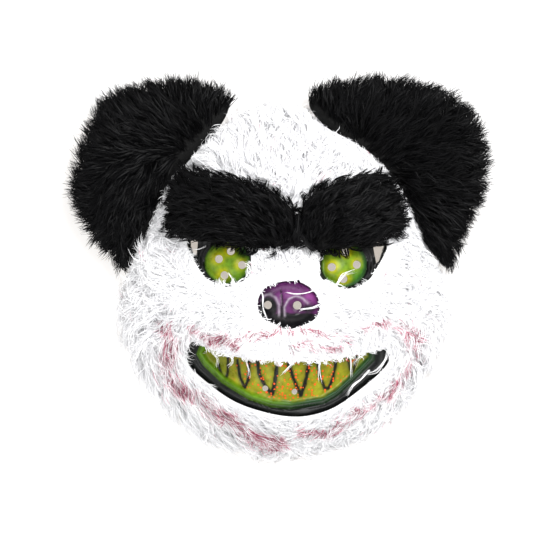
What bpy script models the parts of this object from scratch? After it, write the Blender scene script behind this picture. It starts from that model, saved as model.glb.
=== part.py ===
"""Plush bear mask, lying face up.

A thin formed plastic face, a deep-pile white cover with openings for the
eyes, nose and mouth, two black ears, two black brows, and a flat elastic
strap across the hollow back.

Metres, +Z up and out of the face, +Y to the crown, +X to the viewer's right.
The tables below are in millimetres.
"""
import bpy
import bmesh
import numpy as np
from mathutils import Vector

MM = 0.001

# ---------------------------------------------------------------- sizes (mm)
FACE_CENTRE = (3.0, -12.0)      # middle of the face shell, seen from the front
NOSE_CENTRE = (5.6, -23.5)      # middle of the nose pad
SHELL_WALL = 1.2                # formed plastic sheet
RIM_Z = 0.4                     # lower edge of the plastic above the table
DOME_HEIGHT = 78.0              # plain dome of the face, without the muzzle
DOME_SHAPE = (2.7, 0.60)        # radial and height powers of the dome
MUZZLE = dict(x=4.0, y=-42.0, wide=50.0, tall=42.0, height=21.0)
BROW_RIDGE = dict(x=2.0, y=36.0, wide=70.0, tall=22.0, height=5.0)
CHIN = dict(x=6.0, y=-100.0, wide=60.0, tall=24.0, height=16.0)

PILE_FULL = 18.0                # depth of the white pile where it is free
PILE_TRIMMED = 5.5              # at the openings, and under brows and ears
PILE_RAMP = 26.0                # distance over which the pile deepens
PILE_TUCK = 2.5                 # how far the pile tucks in at the table
CLOTH_GAP = 1.8                 # room between plastic and pile, for the glue
SEAT_GAP = 0.45                 # room between the cover and what is sewn on it

EYE_DOME_HEIGHT = 8.8
EYE_DOME_ROUNDNESS = 0.87       # share of a full sphere's half width
EYE_SOCKET_DEPTH = 4.5
NOSE_HALF = (20.3, 15.4)
NOSE_RISE = 9.0
NOSTRIL_DEPTH = 5.0
LIP_RISE = 3.2
TOOTH_RECESS = 4.0

EAR_THICK = 23.0
BROW_RISE = 15.0
STRAP_WIDTH = 10.0
STRAP_THICK = 1.4
STRAP_Y = -16.0

SHELL_COLUMNS = 28              # mesh divisions of the formed face
SHELL_ROWS = 30
COVER_SPOKES = 44
COVER_RINGS = 8

# Outer edge of the plastic face: half width about FACE_CENTRE at each height.
FACE_WIDTHS = [
    # station        y     half_width
    ("crown",      108.0,   0.0),
    ("high_brow",   93.0,  52.0),
    ("ear_root",    61.0,  84.0),
    ("temple",      30.0,  98.0),
    ("eye_line",     0.0, 104.0),
    ("cheek",      -40.0, 106.0),
    ("jaw",        -74.0,  92.0),
    ("low_jaw",   -103.0,  66.0),
    ("under_lip", -119.0,  34.0),
    ("chin",      -125.5,   0.0),
]

# Openings cut through the white cover.
LEFT_EYE_OPENING = [
    # point            x       y
    ("brow_side",    -58.0,  26.0),
    ("brow_middle",  -42.0,  24.0),
    ("inner_top",    -25.0,  17.0),
    ("inner",        -20.0,   6.0),
    ("inner_low",    -22.3,  -7.6),
    ("bottom",       -36.5, -14.4),
    ("outer_low",    -50.5,  -8.8),
    ("outer",        -59.8,   3.8),
    ("outer_high",   -65.2,  18.5),
]
RIGHT_EYE_OPENING = [
    ("brow_side",     66.0,  22.0),
    ("brow_middle",   48.0,  20.0),
    ("inner_top",     31.0,  15.5),
    ("inner",         27.3,   5.0),
    ("inner_low",     29.2,  -9.0),
    ("bottom",        45.5, -15.8),
    ("outer_low",     60.3, -10.6),
    ("outer",         68.9,   1.2),
    ("outer_high",    75.5,  16.2),
]
NOSE_OPENING = [
    ("top",            7.0, -10.2),
    ("high_right",    19.0, -13.6),
    ("right",         26.6, -23.0),
    ("low_right",     24.4, -36.0),
    ("bottom",         7.0, -42.6),
    ("low_left",     -10.8, -36.6),
    ("left",         -15.6, -25.4),
    ("high_left",     -9.0, -14.2),
]
MOUTH_OPENING = [
    ("left_corner",  -62.5, -52.0),
    ("left_high",    -46.0, -58.0),
    ("top_left",     -24.0, -63.0),
    ("top",            8.0, -65.5),
    ("top_right",     40.0, -63.5),
    ("right_high",    60.0, -59.5),
    ("right_corner",  76.0, -57.5),
    ("right_lip",     75.2, -69.0),
    ("right_low",     57.0, -85.7),
    ("low_right",     34.0, -100.4),
    ("bottom",         8.0, -104.9),
    ("low_left",     -24.0, -97.8),
    ("left_low",     -46.0, -85.4),
    ("left_lip",     -66.4, -65.8),
]

# Punched round holes of the plastic face, and where each one sits.
PUNCHED_HOLES = [
    # name                  x       y      radius
    ("left_eye_top",      -35.3,   12.2,   2.95),
    ("left_eye_outer",    -43.9,    6.5,   2.95),
    ("left_eye_inner",    -27.0,    2.2,   2.95),
    ("left_eye_bottom",   -39.9,   -5.3,   2.95),
    ("right_eye_top",      46.8,   11.8,   3.00),
    ("right_eye_inner",    36.9,    0.7,   3.00),
    ("right_eye_outer",    55.1,    2.4,   3.00),
    ("right_eye_bottom",   45.4,   -7.9,   3.00),
    ("nostril_left",       -8.9,  -26.4,   3.00),
    ("nostril_right",      12.2,  -26.6,   3.00),
    ("mouth_high_left",   -19.9,  -66.2,   2.10),
    ("mouth_high_mid",     -1.4,  -68.6,   2.10),
    ("mouth_low_left",    -10.6,  -86.2,   2.10),
    ("mouth_low_right",    10.4,  -88.6,   2.10),
]

# Die-cut windows at the outer eye corners.
LEFT_WINDOW = [
    ("top_outer",    -66.2,  22.5),
    ("top_inner",    -58.6,  22.5),
    ("low_inner",    -59.8,   9.0),
    ("low_outer",    -62.6,  10.6),
]
RIGHT_WINDOW = [
    ("top_inner",     66.2,  19.0),
    ("top_outer",     75.8,  18.2),
    ("low_outer",     71.2,   5.0),
    ("low_inner",     68.9,   3.3),
]

# Ears seen from the front. The inner edge runs in under the head's side, and
# is trimmed to it.
EAR_LEFT = [
    ("tip_top",      -31.0, 121.0),
    ("top_inner",    -48.0, 131.0),
    ("top",          -70.0, 137.0),
    ("top_outer",    -96.0, 134.0),
    ("corner",      -122.0, 126.0),
    ("outer_high",  -138.0, 105.0),
    ("outer",       -147.5,  76.0),
    ("outer_low",   -150.0,  49.0),
    ("low",         -137.0,  24.0),
    ("low_tip",     -121.0,   5.0),
    ("tip",         -110.5,  -7.0),
    ("inner_low",   -102.0,   8.0),
    ("inner",        -84.0,  34.0),
    ("inner_high",   -70.0,  62.0),
    ("inner_top",    -46.0,  92.0),
]
EAR_RIGHT = [
    ("tip_top",       15.0, 121.0),
    ("top_inner",     30.0, 132.0),
    ("top",           58.0, 137.0),
    ("top_outer",     92.0, 136.0),
    ("corner",       124.0, 126.0),
    ("outer_high",   144.0, 107.0),
    ("outer",        150.0,  80.0),
    ("outer_low",    147.0,  50.0),
    ("low",          135.0,  26.0),
    ("low_tip",      127.0,   8.0),
    ("tip",          121.0,  -5.5),
    ("inner_low",    110.0,   6.0),
    ("inner",         88.0,  32.0),
    ("inner_high",    70.0,  60.0),
    ("inner_top",     36.0,  94.0),
]

# Brows seen from the front.
BROW_LEFT = [
    ("outer_top",    -76.5,  69.0),
    ("top_outer",    -55.0,  68.0),
    ("top",          -38.0,  65.0),
    ("top_inner",    -16.0,  58.8),
    ("inner_high",     2.0,  50.0),
    ("inner",         11.2,  39.0),
    ("inner_low",     12.0,  25.0),
    ("low_inner",      1.0,  14.6),
    ("low",          -20.0,  13.0),
    ("low_outer",    -45.0,  19.0),
    ("outer_low",    -79.0,  25.5),
    ("outer",        -80.0,  47.0),
]
BROW_RIGHT = [
    ("outer_top",     77.0,  66.0),
    ("top_outer",     58.0,  66.0),
    ("top",           40.0,  62.0),
    ("top_inner",     25.0,  56.0),
    ("inner_high",    16.5,  46.5),
    ("inner",         13.7,  36.0),
    ("inner_low",     14.0,  22.5),
    ("low_inner",     23.0,  12.6),
    ("low",           44.0,  13.0),
    ("low_outer",     68.0,  18.5),
    ("outer_low",     89.0,  29.0),
    ("outer",         87.0,  48.0),
]

# name             red    green  blue   roughness
FINISHES = {
    "face_plastic": (0.34, 0.40, 0.05, 0.22),
    "white_plush":  (0.88, 0.88, 0.89, 0.90),
    "black_plush":  (0.015, 0.015, 0.016, 0.60),
    "elastic":      (0.80, 0.80, 0.78, 0.80),
}


# ------------------------------------------------------------------- helpers
def clear_scene():
    for obj in list(bpy.data.objects):
        bpy.data.objects.remove(obj, do_unlink=True)


def finish(name):
    mat = bpy.data.materials.get(name)
    if mat is None:
        red, green, blue, rough = FINISHES[name]
        mat = bpy.data.materials.new(name)
        mat.use_nodes = True
        shader = mat.node_tree.nodes["Principled BSDF"]
        shader.inputs["Base Color"].default_value = (red, green, blue, 1.0)
        shader.inputs["Roughness"].default_value = rough
        shader.inputs["Metallic"].default_value = 0.0
    return mat


def smoothstep(x):
    x = np.clip(x, 0.0, 1.0)
    return x * x * (3.0 - 2.0 * x)


def closed_curve(table, per_span=6):
    """A closed Catmull-Rom curve through a table's points."""
    pts = np.array([(row[1], row[2]) for row in table], float)
    out = []
    n = len(pts)
    for i in range(n):
        p0, p1, p2, p3 = (pts[(i + k - 1) % n] for k in range(4))
        for j in range(per_span):
            t = j / per_span
            out.append(0.5 * (2 * p1 + (p2 - p0) * t
                              + (2 * p0 - 5 * p1 + 4 * p2 - p3) * t * t
                              + (3 * p1 - p0 - 3 * p2 + p3) * t ** 3))
    return np.array(out)


def face_outline():
    left = [(name, FACE_CENTRE[0] - w, y) for name, y, w in FACE_WIDTHS]
    right = [(name, FACE_CENTRE[0] + w, y) for name, y, w in FACE_WIDTHS[1:-1]]
    return closed_curve(left + right[::-1], per_span=12)


OUTLINE = face_outline()
_rel = OUTLINE - np.array(FACE_CENTRE)
_ang = np.arctan2(_rel[:, 1], _rel[:, 0])
_rad = np.hypot(_rel[:, 0], _rel[:, 1])
_order = np.argsort(_ang)
_ang, _rad = _ang[_order], _rad[_order]
_ang = np.concatenate([_ang - 2 * np.pi, _ang, _ang + 2 * np.pi])
_rad = np.tile(_rad, 3)


def outline_radius(angle):
    return np.interp(angle, _ang, _rad)


def rim_fraction(x, y):
    """0 at the middle of the face, 1 on the plastic's edge."""
    dx, dy = x - FACE_CENTRE[0], y - FACE_CENTRE[1]
    return np.hypot(dx, dy) / outline_radius(np.arctan2(dy, dx))


def mound(x, y, m):
    reach = ((x - m["x"]) / m["wide"]) ** 2 + ((y - m["y"]) / m["tall"]) ** 2
    return m["height"] * np.exp(-reach ** 1.3)


def face_height(x, y):
    """Height of the plain formed face, before eyes, nose and mouth."""
    rho = np.clip(rim_fraction(x, y), 0.0, 1.0)
    dome = (1.0 - rho ** DOME_SHAPE[0]) ** DOME_SHAPE[1]
    rise = mound(x, y, MUZZLE) + mound(x, y, BROW_RIDGE) + mound(x, y, CHIN)
    return RIM_Z + DOME_HEIGHT * dome + rise * smoothstep((1.0 - rho) * 5.0)


def signed_distance(x, y, poly):
    """Distance to a closed outline, negative inside it."""
    shape = np.shape(x)
    px = np.ravel(x)[:, None]
    py = np.ravel(y)[:, None]
    ax, ay = poly[:, 0][None], poly[:, 1][None]
    bx, by = np.roll(poly[:, 0], -1)[None], np.roll(poly[:, 1], -1)[None]
    ex, ey = bx - ax, by - ay
    t = np.clip(((px - ax) * ex + (py - ay) * ey) / (ex * ex + ey * ey + 1e-12), 0, 1)
    dist = np.hypot(px - ax - t * ex, py - ay - t * ey).min(axis=1)
    cross = ((ay > py) != (by > py)) & (px < ex * (py - ay) / np.where(ey == 0, 1e-12, ey) + ax)
    inside = cross.sum(axis=1) % 2 == 1
    return np.where(inside, -dist, dist).reshape(shape)


OPENINGS = {
    "left_eye": closed_curve(LEFT_EYE_OPENING),
    "right_eye": closed_curve(RIGHT_EYE_OPENING),
    "nose": closed_curve(NOSE_OPENING),
    "mouth": closed_curve(MOUTH_OPENING),
}
EYE_DOMES = [
    # opening        x      y     half_width  half_height
    ("left_eye",   -37.8,   3.9,   16.2,       14.9),
    ("right_eye",   45.9,   2.4,   16.2,       15.6),
]


def face_relief(x, y):
    """Eye domes, nose, lip roll and tooth panel, all inside the openings."""
    out = np.zeros(np.shape(x))
    flat = np.sqrt(1.0 - EYE_DOME_ROUNDNESS ** 2)
    for key, cx, cy, half_w, half_h in EYE_DOMES:
        inner = -signed_distance(x, y, OPENINGS[key])
        out += -EYE_SOCKET_DEPTH * smoothstep((inner - 1.0) / 4.0)
        d = np.clip(np.hypot((x - cx) / half_w, (y - cy) / half_h), 0.0, 1.0)
        cap = (np.sqrt(1.0 - (EYE_DOME_ROUNDNESS * d) ** 2) - flat) / (1.0 - flat)
        out += EYE_DOME_HEIGHT * cap * smoothstep(inner / 2.0)
    # Nose: a flat-topped pad with two hollows.
    inner = -signed_distance(x, y, OPENINGS["nose"])
    u = np.hypot((x - NOSE_CENTRE[0]) / NOSE_HALF[0], (y + 25.5) / NOSE_HALF[1])
    pad = NOSE_RISE * smoothstep((1.08 - u) / 0.55) * smoothstep(inner / 1.5)
    for hx in (-8.6, 12.4):
        pad -= NOSTRIL_DEPTH * np.exp(-((x - hx) / 5.6) ** 2 - ((y + 28.0) / 6.5) ** 2) \
            * smoothstep(inner / 4.0)
    out += pad
    # Mouth: a lip roll along the lower edge, round a sunk tooth panel.
    inner = -signed_distance(x, y, OPENINGS["mouth"])
    lower = smoothstep((-64.0 - y) / 10.0)
    roll = LIP_RISE * np.exp(-((inner - 6.5) / 4.2) ** 2) * lower
    panel = -TOOTH_RECESS * smoothstep((inner - 6.0) / 7.0)
    out += np.where(inner > 1.5, roll * smoothstep((inner - 1.5) / 2.5) + panel, 0.0)
    return out


def new_object(name, bm, material):
    mesh = bpy.data.meshes.new(name)
    bm.normal_update()
    bm.to_mesh(mesh)
    bm.free()
    obj = bpy.data.objects.new(name, mesh)
    bpy.context.scene.collection.objects.link(obj)
    if material:
        mesh.materials.append(finish(material))
    return obj


def surface_normals(points, faces):
    """Vertex normals of a mesh given as an array of points and its faces."""
    bm = bmesh.new()
    verts = [bm.verts.new(p) for p in points]
    for f in faces:
        bm.faces.new([verts[i] for i in f])
    bm.normal_update()
    out = np.array([v.normal[:] for v in bm.verts])
    bm.free()
    return out


def wall_between(name, outer, inner, faces, edges, material):
    """A closed solid between two copies of one sheet, joined at its edges."""
    bm = bmesh.new()
    top = [bm.verts.new(Vector(p) * MM) for p in outer]
    low = [bm.verts.new(Vector(p) * MM) for p in inner]
    for f in faces:
        bm.faces.new([top[i] for i in f])
        bm.faces.new([low[i] for i in reversed(f)])
    for a, b in edges:
        bm.faces.new([top[b], top[a], low[a], low[b]])
    bmesh.ops.recalc_face_normals(bm, faces=bm.faces)
    bmesh.ops.triangulate(bm, faces=bm.faces)
    return new_object(name, bm, material)


def prism(name, outline, low, high):
    """A closed upright prism on a plan outline, kept as a hidden cutter."""
    bm = bmesh.new()
    base = [bm.verts.new((x * MM, y * MM, low * MM)) for x, y in outline]
    face = bm.faces.new(base)
    up = bmesh.ops.extrude_face_region(bm, geom=[face])
    moved = [v for v in up["geom"] if isinstance(v, bmesh.types.BMVert)]
    bmesh.ops.translate(bm, vec=(0, 0, (high - low) * MM), verts=moved)
    bmesh.ops.recalc_face_normals(bm, faces=bm.faces)
    obj = new_object(name, bm, None)
    as_cutter(obj)
    return obj


def as_cutter(obj):
    obj.hide_render = True
    obj.display_type = "WIRE"
    return obj


def cut(obj, cutter):
    mod = obj.modifiers.new(cutter.name, "BOOLEAN")
    mod.operation = "DIFFERENCE"
    mod.solver = "EXACT"
    mod.object = cutter


# ------------------------------------------------------------- plastic face
def graded(count, dense_low, dense_high, sparse):
    """Divisions of -1..1 that crowd together between two values."""
    s = np.linspace(-1, 1, 801)
    density = sparse + (1 - sparse) * (smoothstep((s - dense_low + 0.1) / 0.2)
                                       * smoothstep((dense_high + 0.1 - s) / 0.2))
    total = np.concatenate([[0.0], np.cumsum((density[1:] + density[:-1]) / 2)])
    return np.interp(np.linspace(0, total[-1], count + 1), total, s)


def build_face_shell():
    cols = graded(SHELL_COLUMNS, -0.66, 0.70, 0.55)
    rows = graded(SHELL_ROWS, -0.86, 0.22, 0.55)
    s, t = np.meshgrid(cols, rows, indexing="ij")
    # A square grid spread over a disc, then over the face's outline.
    u = s * np.sqrt(1 - t * t / 2)
    v = t * np.sqrt(1 - s * s / 2)
    rho = np.hypot(u, v)
    ang = np.arctan2(v, u)
    rad = outline_radius(ang)
    x = FACE_CENTRE[0] + rho * rad * np.cos(ang)
    y = FACE_CENTRE[1] + rho * rad * np.sin(ang)
    edge = np.zeros(s.shape, bool)
    edge[0, :] = edge[-1, :] = edge[:, 0] = edge[:, -1] = True
    z = np.where(edge, RIM_Z, face_height(x, y) + face_relief(x, y))
    pts = np.stack([x, y, z], axis=-1).reshape(-1, 3)
    n, m = len(cols), len(rows)
    index = np.arange(n * m).reshape(n, m)
    faces = [(index[i, j], index[i + 1, j], index[i + 1, j + 1], index[i, j + 1])
             for i in range(n - 1) for j in range(m - 1)]
    ring = (list(index[:, 0]) + list(index[-1, 1:]) + list(index[-2::-1, -1])
            + list(index[0, -2:0:-1]))
    edges = list(zip(ring, ring[1:] + ring[:1]))
    normal = surface_normals(pts, faces)
    inner = pts - SHELL_WALL * normal
    flat = edge.reshape(-1)
    inner[flat, 2] = RIM_Z
    shell = wall_between("face_shell", pts, inner, faces, edges, "face_plastic")
    for name, hx, hy, r in PUNCHED_HOLES:
        turn = np.arange(12) * 2 * np.pi / 12
        ring_pts = np.stack([hx + r * np.cos(turn), hy + r * np.sin(turn)], axis=1)
        cut(shell, prism("punch_" + name, ring_pts, 40, 140))
    for name, table in (("left", LEFT_WINDOW), ("right", RIGHT_WINDOW)):
        cut(shell, prism("window_" + name, [(r[1], r[2]) for r in table], 20, 140))
    return shell


# -------------------------------------------------------------- white cover
def pile_depth(x, y):
    """Depth of the white pile: trimmed at openings, pressed under black parts."""
    near = np.min([np.abs(signed_distance(x, y, o)) * (signed_distance(x, y, o) > 0)
                   for o in OPENINGS.values()], axis=0)
    free = smoothstep((near - 1.0) / PILE_RAMP)
    for table in (EAR_LEFT, EAR_RIGHT):
        free = free * smoothstep((signed_distance(x, y, closed_curve(table)) + 2.0) / 12.0)
    for table in (BROW_LEFT, BROW_RIGHT):
        free = free * (0.25 + 0.75 * smoothstep(
            (signed_distance(x, y, closed_curve(table)) + 2.0) / 10.0))
    return PILE_TRIMMED + (PILE_FULL - PILE_TRIMMED) * free


def cover_sheet():
    """The face surface from the nose opening out to the rim, as a ring grid."""
    nose = OPENINGS["nose"]
    turn = np.arange(COVER_SPOKES) * 2 * np.pi / COVER_SPOKES
    centre = np.array(NOSE_CENTRE)

    def radius_in(poly, angle):
        rel = poly - centre
        ang = np.arctan2(rel[:, 1], rel[:, 0])
        rad = np.hypot(rel[:, 0], rel[:, 1])
        order = np.argsort(ang)
        ang, rad = ang[order], rad[order]
        return np.interp((angle + np.pi) % (2 * np.pi) - np.pi, ang, rad, period=2 * np.pi)

    r_in = radius_in(nose, turn)
    r_out = radius_in(OUTLINE, turn)
    q = np.linspace(0, 1, COVER_RINGS + 1)
    q = 0.45 * q + 0.55 * np.sin(q * np.pi / 2)      # rings crowd at the rim
    r = r_in[:, None] + (r_out - r_in)[:, None] * q[None]
    x = centre[0] + r * np.cos(turn)[:, None]
    y = centre[1] + r * np.sin(turn)[:, None]
    z = face_height(x, y)
    z[:, -1] = 0.0
    pts = np.stack([x, y, z], axis=-1)
    n, m = x.shape
    index = np.arange(n * m).reshape(n, m)
    faces = [(index[i, j], index[i, j + 1], index[(i + 1) % n, j + 1], index[(i + 1) % n, j])
             for i in range(n) for j in range(m - 1)]
    rim = [(index[i, -1], index[(i + 1) % n, -1]) for i in range(n)]
    hole = [(index[(i + 1) % n, 0], index[i, 0]) for i in range(n)]
    normal = surface_normals(pts.reshape(-1, 3), faces).reshape(n, m, 3)
    normal[:, -1, 2] = 0.0                                  # level at the table
    normal[:, -1] /= np.linalg.norm(normal[:, -1], axis=1)[:, None]
    return pts, normal, faces, rim, hole


def offset_sheet(pts, normal, depth):
    out = pts + normal * depth[..., None]
    out[:, -1, 2] = 0.0
    return out


def build_plush_face():
    pts, normal, faces, rim, hole = cover_sheet()
    depth = pile_depth(pts[..., 0], pts[..., 1])
    depth[:, -1] = np.maximum(depth[:, -1] - PILE_TUCK, 4.5)
    outer = offset_sheet(pts, normal, depth)
    inner = offset_sheet(pts, normal, np.full(depth.shape, CLOTH_GAP))
    cover = wall_between("plush_face", outer.reshape(-1, 3), inner.reshape(-1, 3),
                         faces, rim + hole, "white_plush")
    for key in ("left_eye", "right_eye", "mouth"):
        cut(cover, prism("opening_" + key, OPENINGS[key], 10, 150))
    return cover


def build_head_clearance():
    """The cover's outer form, a little larger and filled, to seat ears and brows."""
    pts, normal, faces, rim, hole = cover_sheet()
    depth = pile_depth(pts[..., 0], pts[..., 1])
    depth[:, -1] = np.maximum(depth[:, -1] - PILE_TUCK, 4.5)
    outer = pts + normal * (depth + SEAT_GAP)[..., None]
    n, m = outer.shape[:2]
    bm = bmesh.new()
    grid = [[bm.verts.new(Vector(outer[i, j]) * MM) for j in range(m)] for i in range(n)]
    for i in range(n):
        for j in range(m - 1):
            bm.faces.new([grid[i][j], grid[i][j + 1], grid[(i + 1) % n][j + 1],
                          grid[(i + 1) % n][j]])
    bm.faces.new([grid[i][0] for i in range(n)])
    low = [bm.verts.new(Vector((outer[i, -1, 0], outer[i, -1, 1], -20.0)) * MM)
           for i in range(n)]
    for i in range(n):
        bm.faces.new([grid[i][-1], low[i], low[(i + 1) % n], grid[(i + 1) % n][-1]])
    bm.faces.new(list(reversed(low)))
    bmesh.ops.recalc_face_normals(bm, faces=bm.faces)
    bmesh.ops.triangulate(bm, faces=bm.faces)
    return as_cutter(new_object("head_clearance", bm, None))


# ------------------------------------------------------------ ears and brows
def pad_solid(name, table, top_of, bottom_of, material, rings=3, per_span=3):
    """A closed pad on a plan outline, domed between two height functions."""
    outline = closed_curve(table, per_span=per_span)
    centre = outline.mean(axis=0)
    n = len(outline)
    bm = bmesh.new()
    top_rings, low_rings = [], []
    for k in range(rings + 1):
        f = np.sin(k / rings * np.pi / 2) if k else 0.0
        ring = centre + (outline - centre) * f
        if k == rings:
            zt = (top_of(ring[:, 0], ring[:, 1], 1.0) + bottom_of(ring[:, 0], ring[:, 1], 1.0)) / 2
            edge = [bm.verts.new(Vector((x, y, z)) * MM) for (x, y), z in zip(ring, zt)]
            top_rings.append(edge)
            low_rings.append(edge)
        elif k == 0:
            top_rings.append([bm.verts.new(Vector((*centre, float(top_of(*centre, 0.0)))) * MM)])
            low_rings.append([bm.verts.new(Vector((*centre, float(bottom_of(*centre, 0.0)))) * MM)])
        else:
            zt = top_of(ring[:, 0], ring[:, 1], f)
            zb = bottom_of(ring[:, 0], ring[:, 1], f)
            top_rings.append([bm.verts.new(Vector((x, y, z)) * MM) for (x, y), z in zip(ring, zt)])
            low_rings.append([bm.verts.new(Vector((x, y, z)) * MM) for (x, y), z in zip(ring, zb)])
    for rings_, flip in ((top_rings, False), (low_rings, True)):
        for k in range(rings):
            a, b = rings_[k], rings_[k + 1]
            for i in range(n):
                j = (i + 1) % n
                if k == 0:
                    f = [a[0], b[i], b[j]]
                else:
                    f = [a[i], b[i], b[j], a[j]]
                bm.faces.new(f[::-1] if flip else f)
    bmesh.ops.recalc_face_normals(bm, faces=bm.faces)
    bmesh.ops.triangulate(bm, faces=bm.faces)
    return new_object(name, bm, material)


def build_ear(name, table, clearance):
    side = -1.0 if table is EAR_LEFT else 1.0

    def middle(x, y):
        # The flap stands off the table and lifts a little towards its edge.
        away = np.clip((side * (x - FACE_CENTRE[0]) - 90.0) / 60.0, 0.0, 1.0)
        return 19.0 + 6.0 * away + 2.0 * np.sin(y / 40.0)

    def bulge(f):
        return np.sqrt(np.maximum(1.0 - f ** 2.6, 0.0))

    ear = pad_solid(name, table,
                    lambda x, y, f: middle(x, y) + EAR_THICK * 0.58 * bulge(f),
                    lambda x, y, f: middle(x, y) - EAR_THICK * 0.42 * bulge(f),
                    "black_plush")
    cut(ear, clearance)
    return ear


def build_brow(name, table, clearance):
    def seat(x, y):
        return face_height(x, y) + pile_depth(x, y)

    brow = pad_solid(name, table,
                     lambda x, y, f: seat(x, y) + BROW_RISE * (1.0 - f ** 3.0) ** 0.5 * 0.93 + 1.0,
                     lambda x, y, f: seat(x, y) - 9.0 + 6.0 * f,
                     "black_plush", rings=3, per_span=3)
    cut(brow, clearance)
    return brow


# -------------------------------------------------------------------- strap
def build_strap():
    """Flat elastic: down one wall, across the table in two low waves, and up."""
    def wall_x(z, side):
        q = np.linspace(0.5, 1.0, 400)
        ang = np.arctan2(STRAP_Y - FACE_CENTRE[1], side)
        xs = FACE_CENTRE[0] + side * q * outline_radius(
            np.arctan2(STRAP_Y - FACE_CENTRE[1], side * 100.0))
        zs = face_height(xs, np.full(xs.shape, STRAP_Y))
        return float(np.interp(-z, -zs, xs))

    anchors = [
        # stage      side   z      inset
        ("end",      -1.0, 26.0,   4.6),
        ("wall",     -1.0, 17.0,   5.2),
        ("turn",     -1.0,  7.0,   7.5),
        ("floor",    -1.0,  1.6,  17.0),
    ]
    path = [(wall_x(z, s) - s * inset, z) for _, s, z, inset in anchors]
    x0, x1 = path[-1][0], wall_x(1.6, 1.0) - 17.0
    for k in range(1, 24):
        f = k / 24
        path.append((x0 + (x1 - x0) * f, 1.6 + 9.0 * np.sin(2 * np.pi * f) ** 2))
    path += [(wall_x(z, 1.0) - inset, z) for _, _, z, inset in reversed(anchors)]
    pts = np.array(path)
    tangent = np.gradient(pts, axis=0)
    tangent /= np.linalg.norm(tangent, axis=1)[:, None]
    normal = np.stack([-tangent[:, 1], tangent[:, 0]], axis=1)
    h = STRAP_THICK / 2
    bm = bmesh.new()
    rows = []
    for p, nrm in zip(pts, normal):
        up, dn = p + nrm * h, p - nrm * h
        rows.append([bm.verts.new(Vector((q[0], y, q[1])) * MM)
                     for q, y in ((up, STRAP_Y - STRAP_WIDTH / 2), (up, STRAP_Y + STRAP_WIDTH / 2),
                                  (dn, STRAP_Y + STRAP_WIDTH / 2), (dn, STRAP_Y - STRAP_WIDTH / 2))])
    for a, b in zip(rows, rows[1:]):
        for i in range(4):
            j = (i + 1) % 4
            bm.faces.new([a[i], b[i], b[j], a[j]])
    bm.faces.new(rows[0])
    bm.faces.new(rows[-1][::-1])
    bmesh.ops.recalc_face_normals(bm, faces=bm.faces)
    bmesh.ops.triangulate(bm, faces=bm.faces)
    return new_object("head_strap", bm, "elastic")


def main():
    clear_scene()
    build_face_shell()
    build_plush_face()
    clearance = build_head_clearance()
    build_ear("ear_left", EAR_LEFT, clearance)
    build_ear("ear_right", EAR_RIGHT, clearance)
    build_brow("brow_left", BROW_LEFT, clearance)
    build_brow("brow_right", BROW_RIGHT, clearance)
    build_strap()
    for obj in bpy.data.objects:
        if obj.type == "MESH" and not obj.hide_render:
            obj.data.shade_smooth()
            obj.data.set_sharp_from_angle(angle=0.7)


main()
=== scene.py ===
"""Looks of the plush bear mask: painted formed plastic, white and black pile.

Tables are in millimetres, in the frame of the model: +X right, +Y to the
crown, +Z up out of the face.
"""
import math

import bpy
import numpy as np
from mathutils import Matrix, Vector
from mathutils.bvhtree import BVHTree


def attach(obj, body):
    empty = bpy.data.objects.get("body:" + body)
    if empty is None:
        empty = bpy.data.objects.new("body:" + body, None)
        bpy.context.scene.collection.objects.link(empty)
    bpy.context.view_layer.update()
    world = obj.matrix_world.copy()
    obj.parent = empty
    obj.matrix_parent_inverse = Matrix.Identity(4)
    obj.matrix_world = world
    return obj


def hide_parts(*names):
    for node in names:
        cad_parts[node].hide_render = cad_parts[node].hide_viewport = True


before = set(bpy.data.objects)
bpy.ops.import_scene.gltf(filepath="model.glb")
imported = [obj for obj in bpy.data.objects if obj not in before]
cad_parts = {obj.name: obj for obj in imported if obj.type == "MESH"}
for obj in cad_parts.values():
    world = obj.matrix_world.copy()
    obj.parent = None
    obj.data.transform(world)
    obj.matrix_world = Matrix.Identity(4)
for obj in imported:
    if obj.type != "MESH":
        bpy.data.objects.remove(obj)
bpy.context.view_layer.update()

MM = 0.001

# ------------------------------------------------------------ camera (first)
# The picture's frame is 385.2 mm wide, seen from straight above the face.
VIEW_MIDDLE = (-9.0, 0.36)
VIEW_WIDTH = 385.2
CAMERA_HEIGHT = 6000.0
VIEW_LEVEL = 40.0                # height of the mask at which the width holds

# ------------------------------------------------------- form of the head (mm)
FACE_CENTRE = (3.0, -12.0)
NOSE_CENTRE = (5.6, -23.5)
RIM_Z = 0.4
DOME_HEIGHT = 78.0
DOME_SHAPE = (2.7, 0.60)
MUZZLE = dict(x=4.0, y=-42.0, wide=50.0, tall=42.0, height=21.0)
BROW_RIDGE = dict(x=2.0, y=36.0, wide=70.0, tall=22.0, height=5.0)
CHIN = dict(x=6.0, y=-100.0, wide=60.0, tall=24.0, height=16.0)
SKIN_WALL = 1.1
PILE_FULL = 18.0
PILE_TRIMMED = 5.5
PILE_RAMP = 26.0
EYE_DOME_HEIGHT = 8.8
EYE_DOME_ROUNDNESS = 0.87
EYE_SOCKET_DEPTH = 4.5
NOSE_HALF = (20.3, 15.4)
NOSE_RISE = 9.0
NOSTRIL_DEPTH = 4.4
TOOTH_RECESS = 3.4
CLOTH_INNER = 1.9                # the cover's backing, off the plastic
CLOTH_OUTER = 3.1

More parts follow.
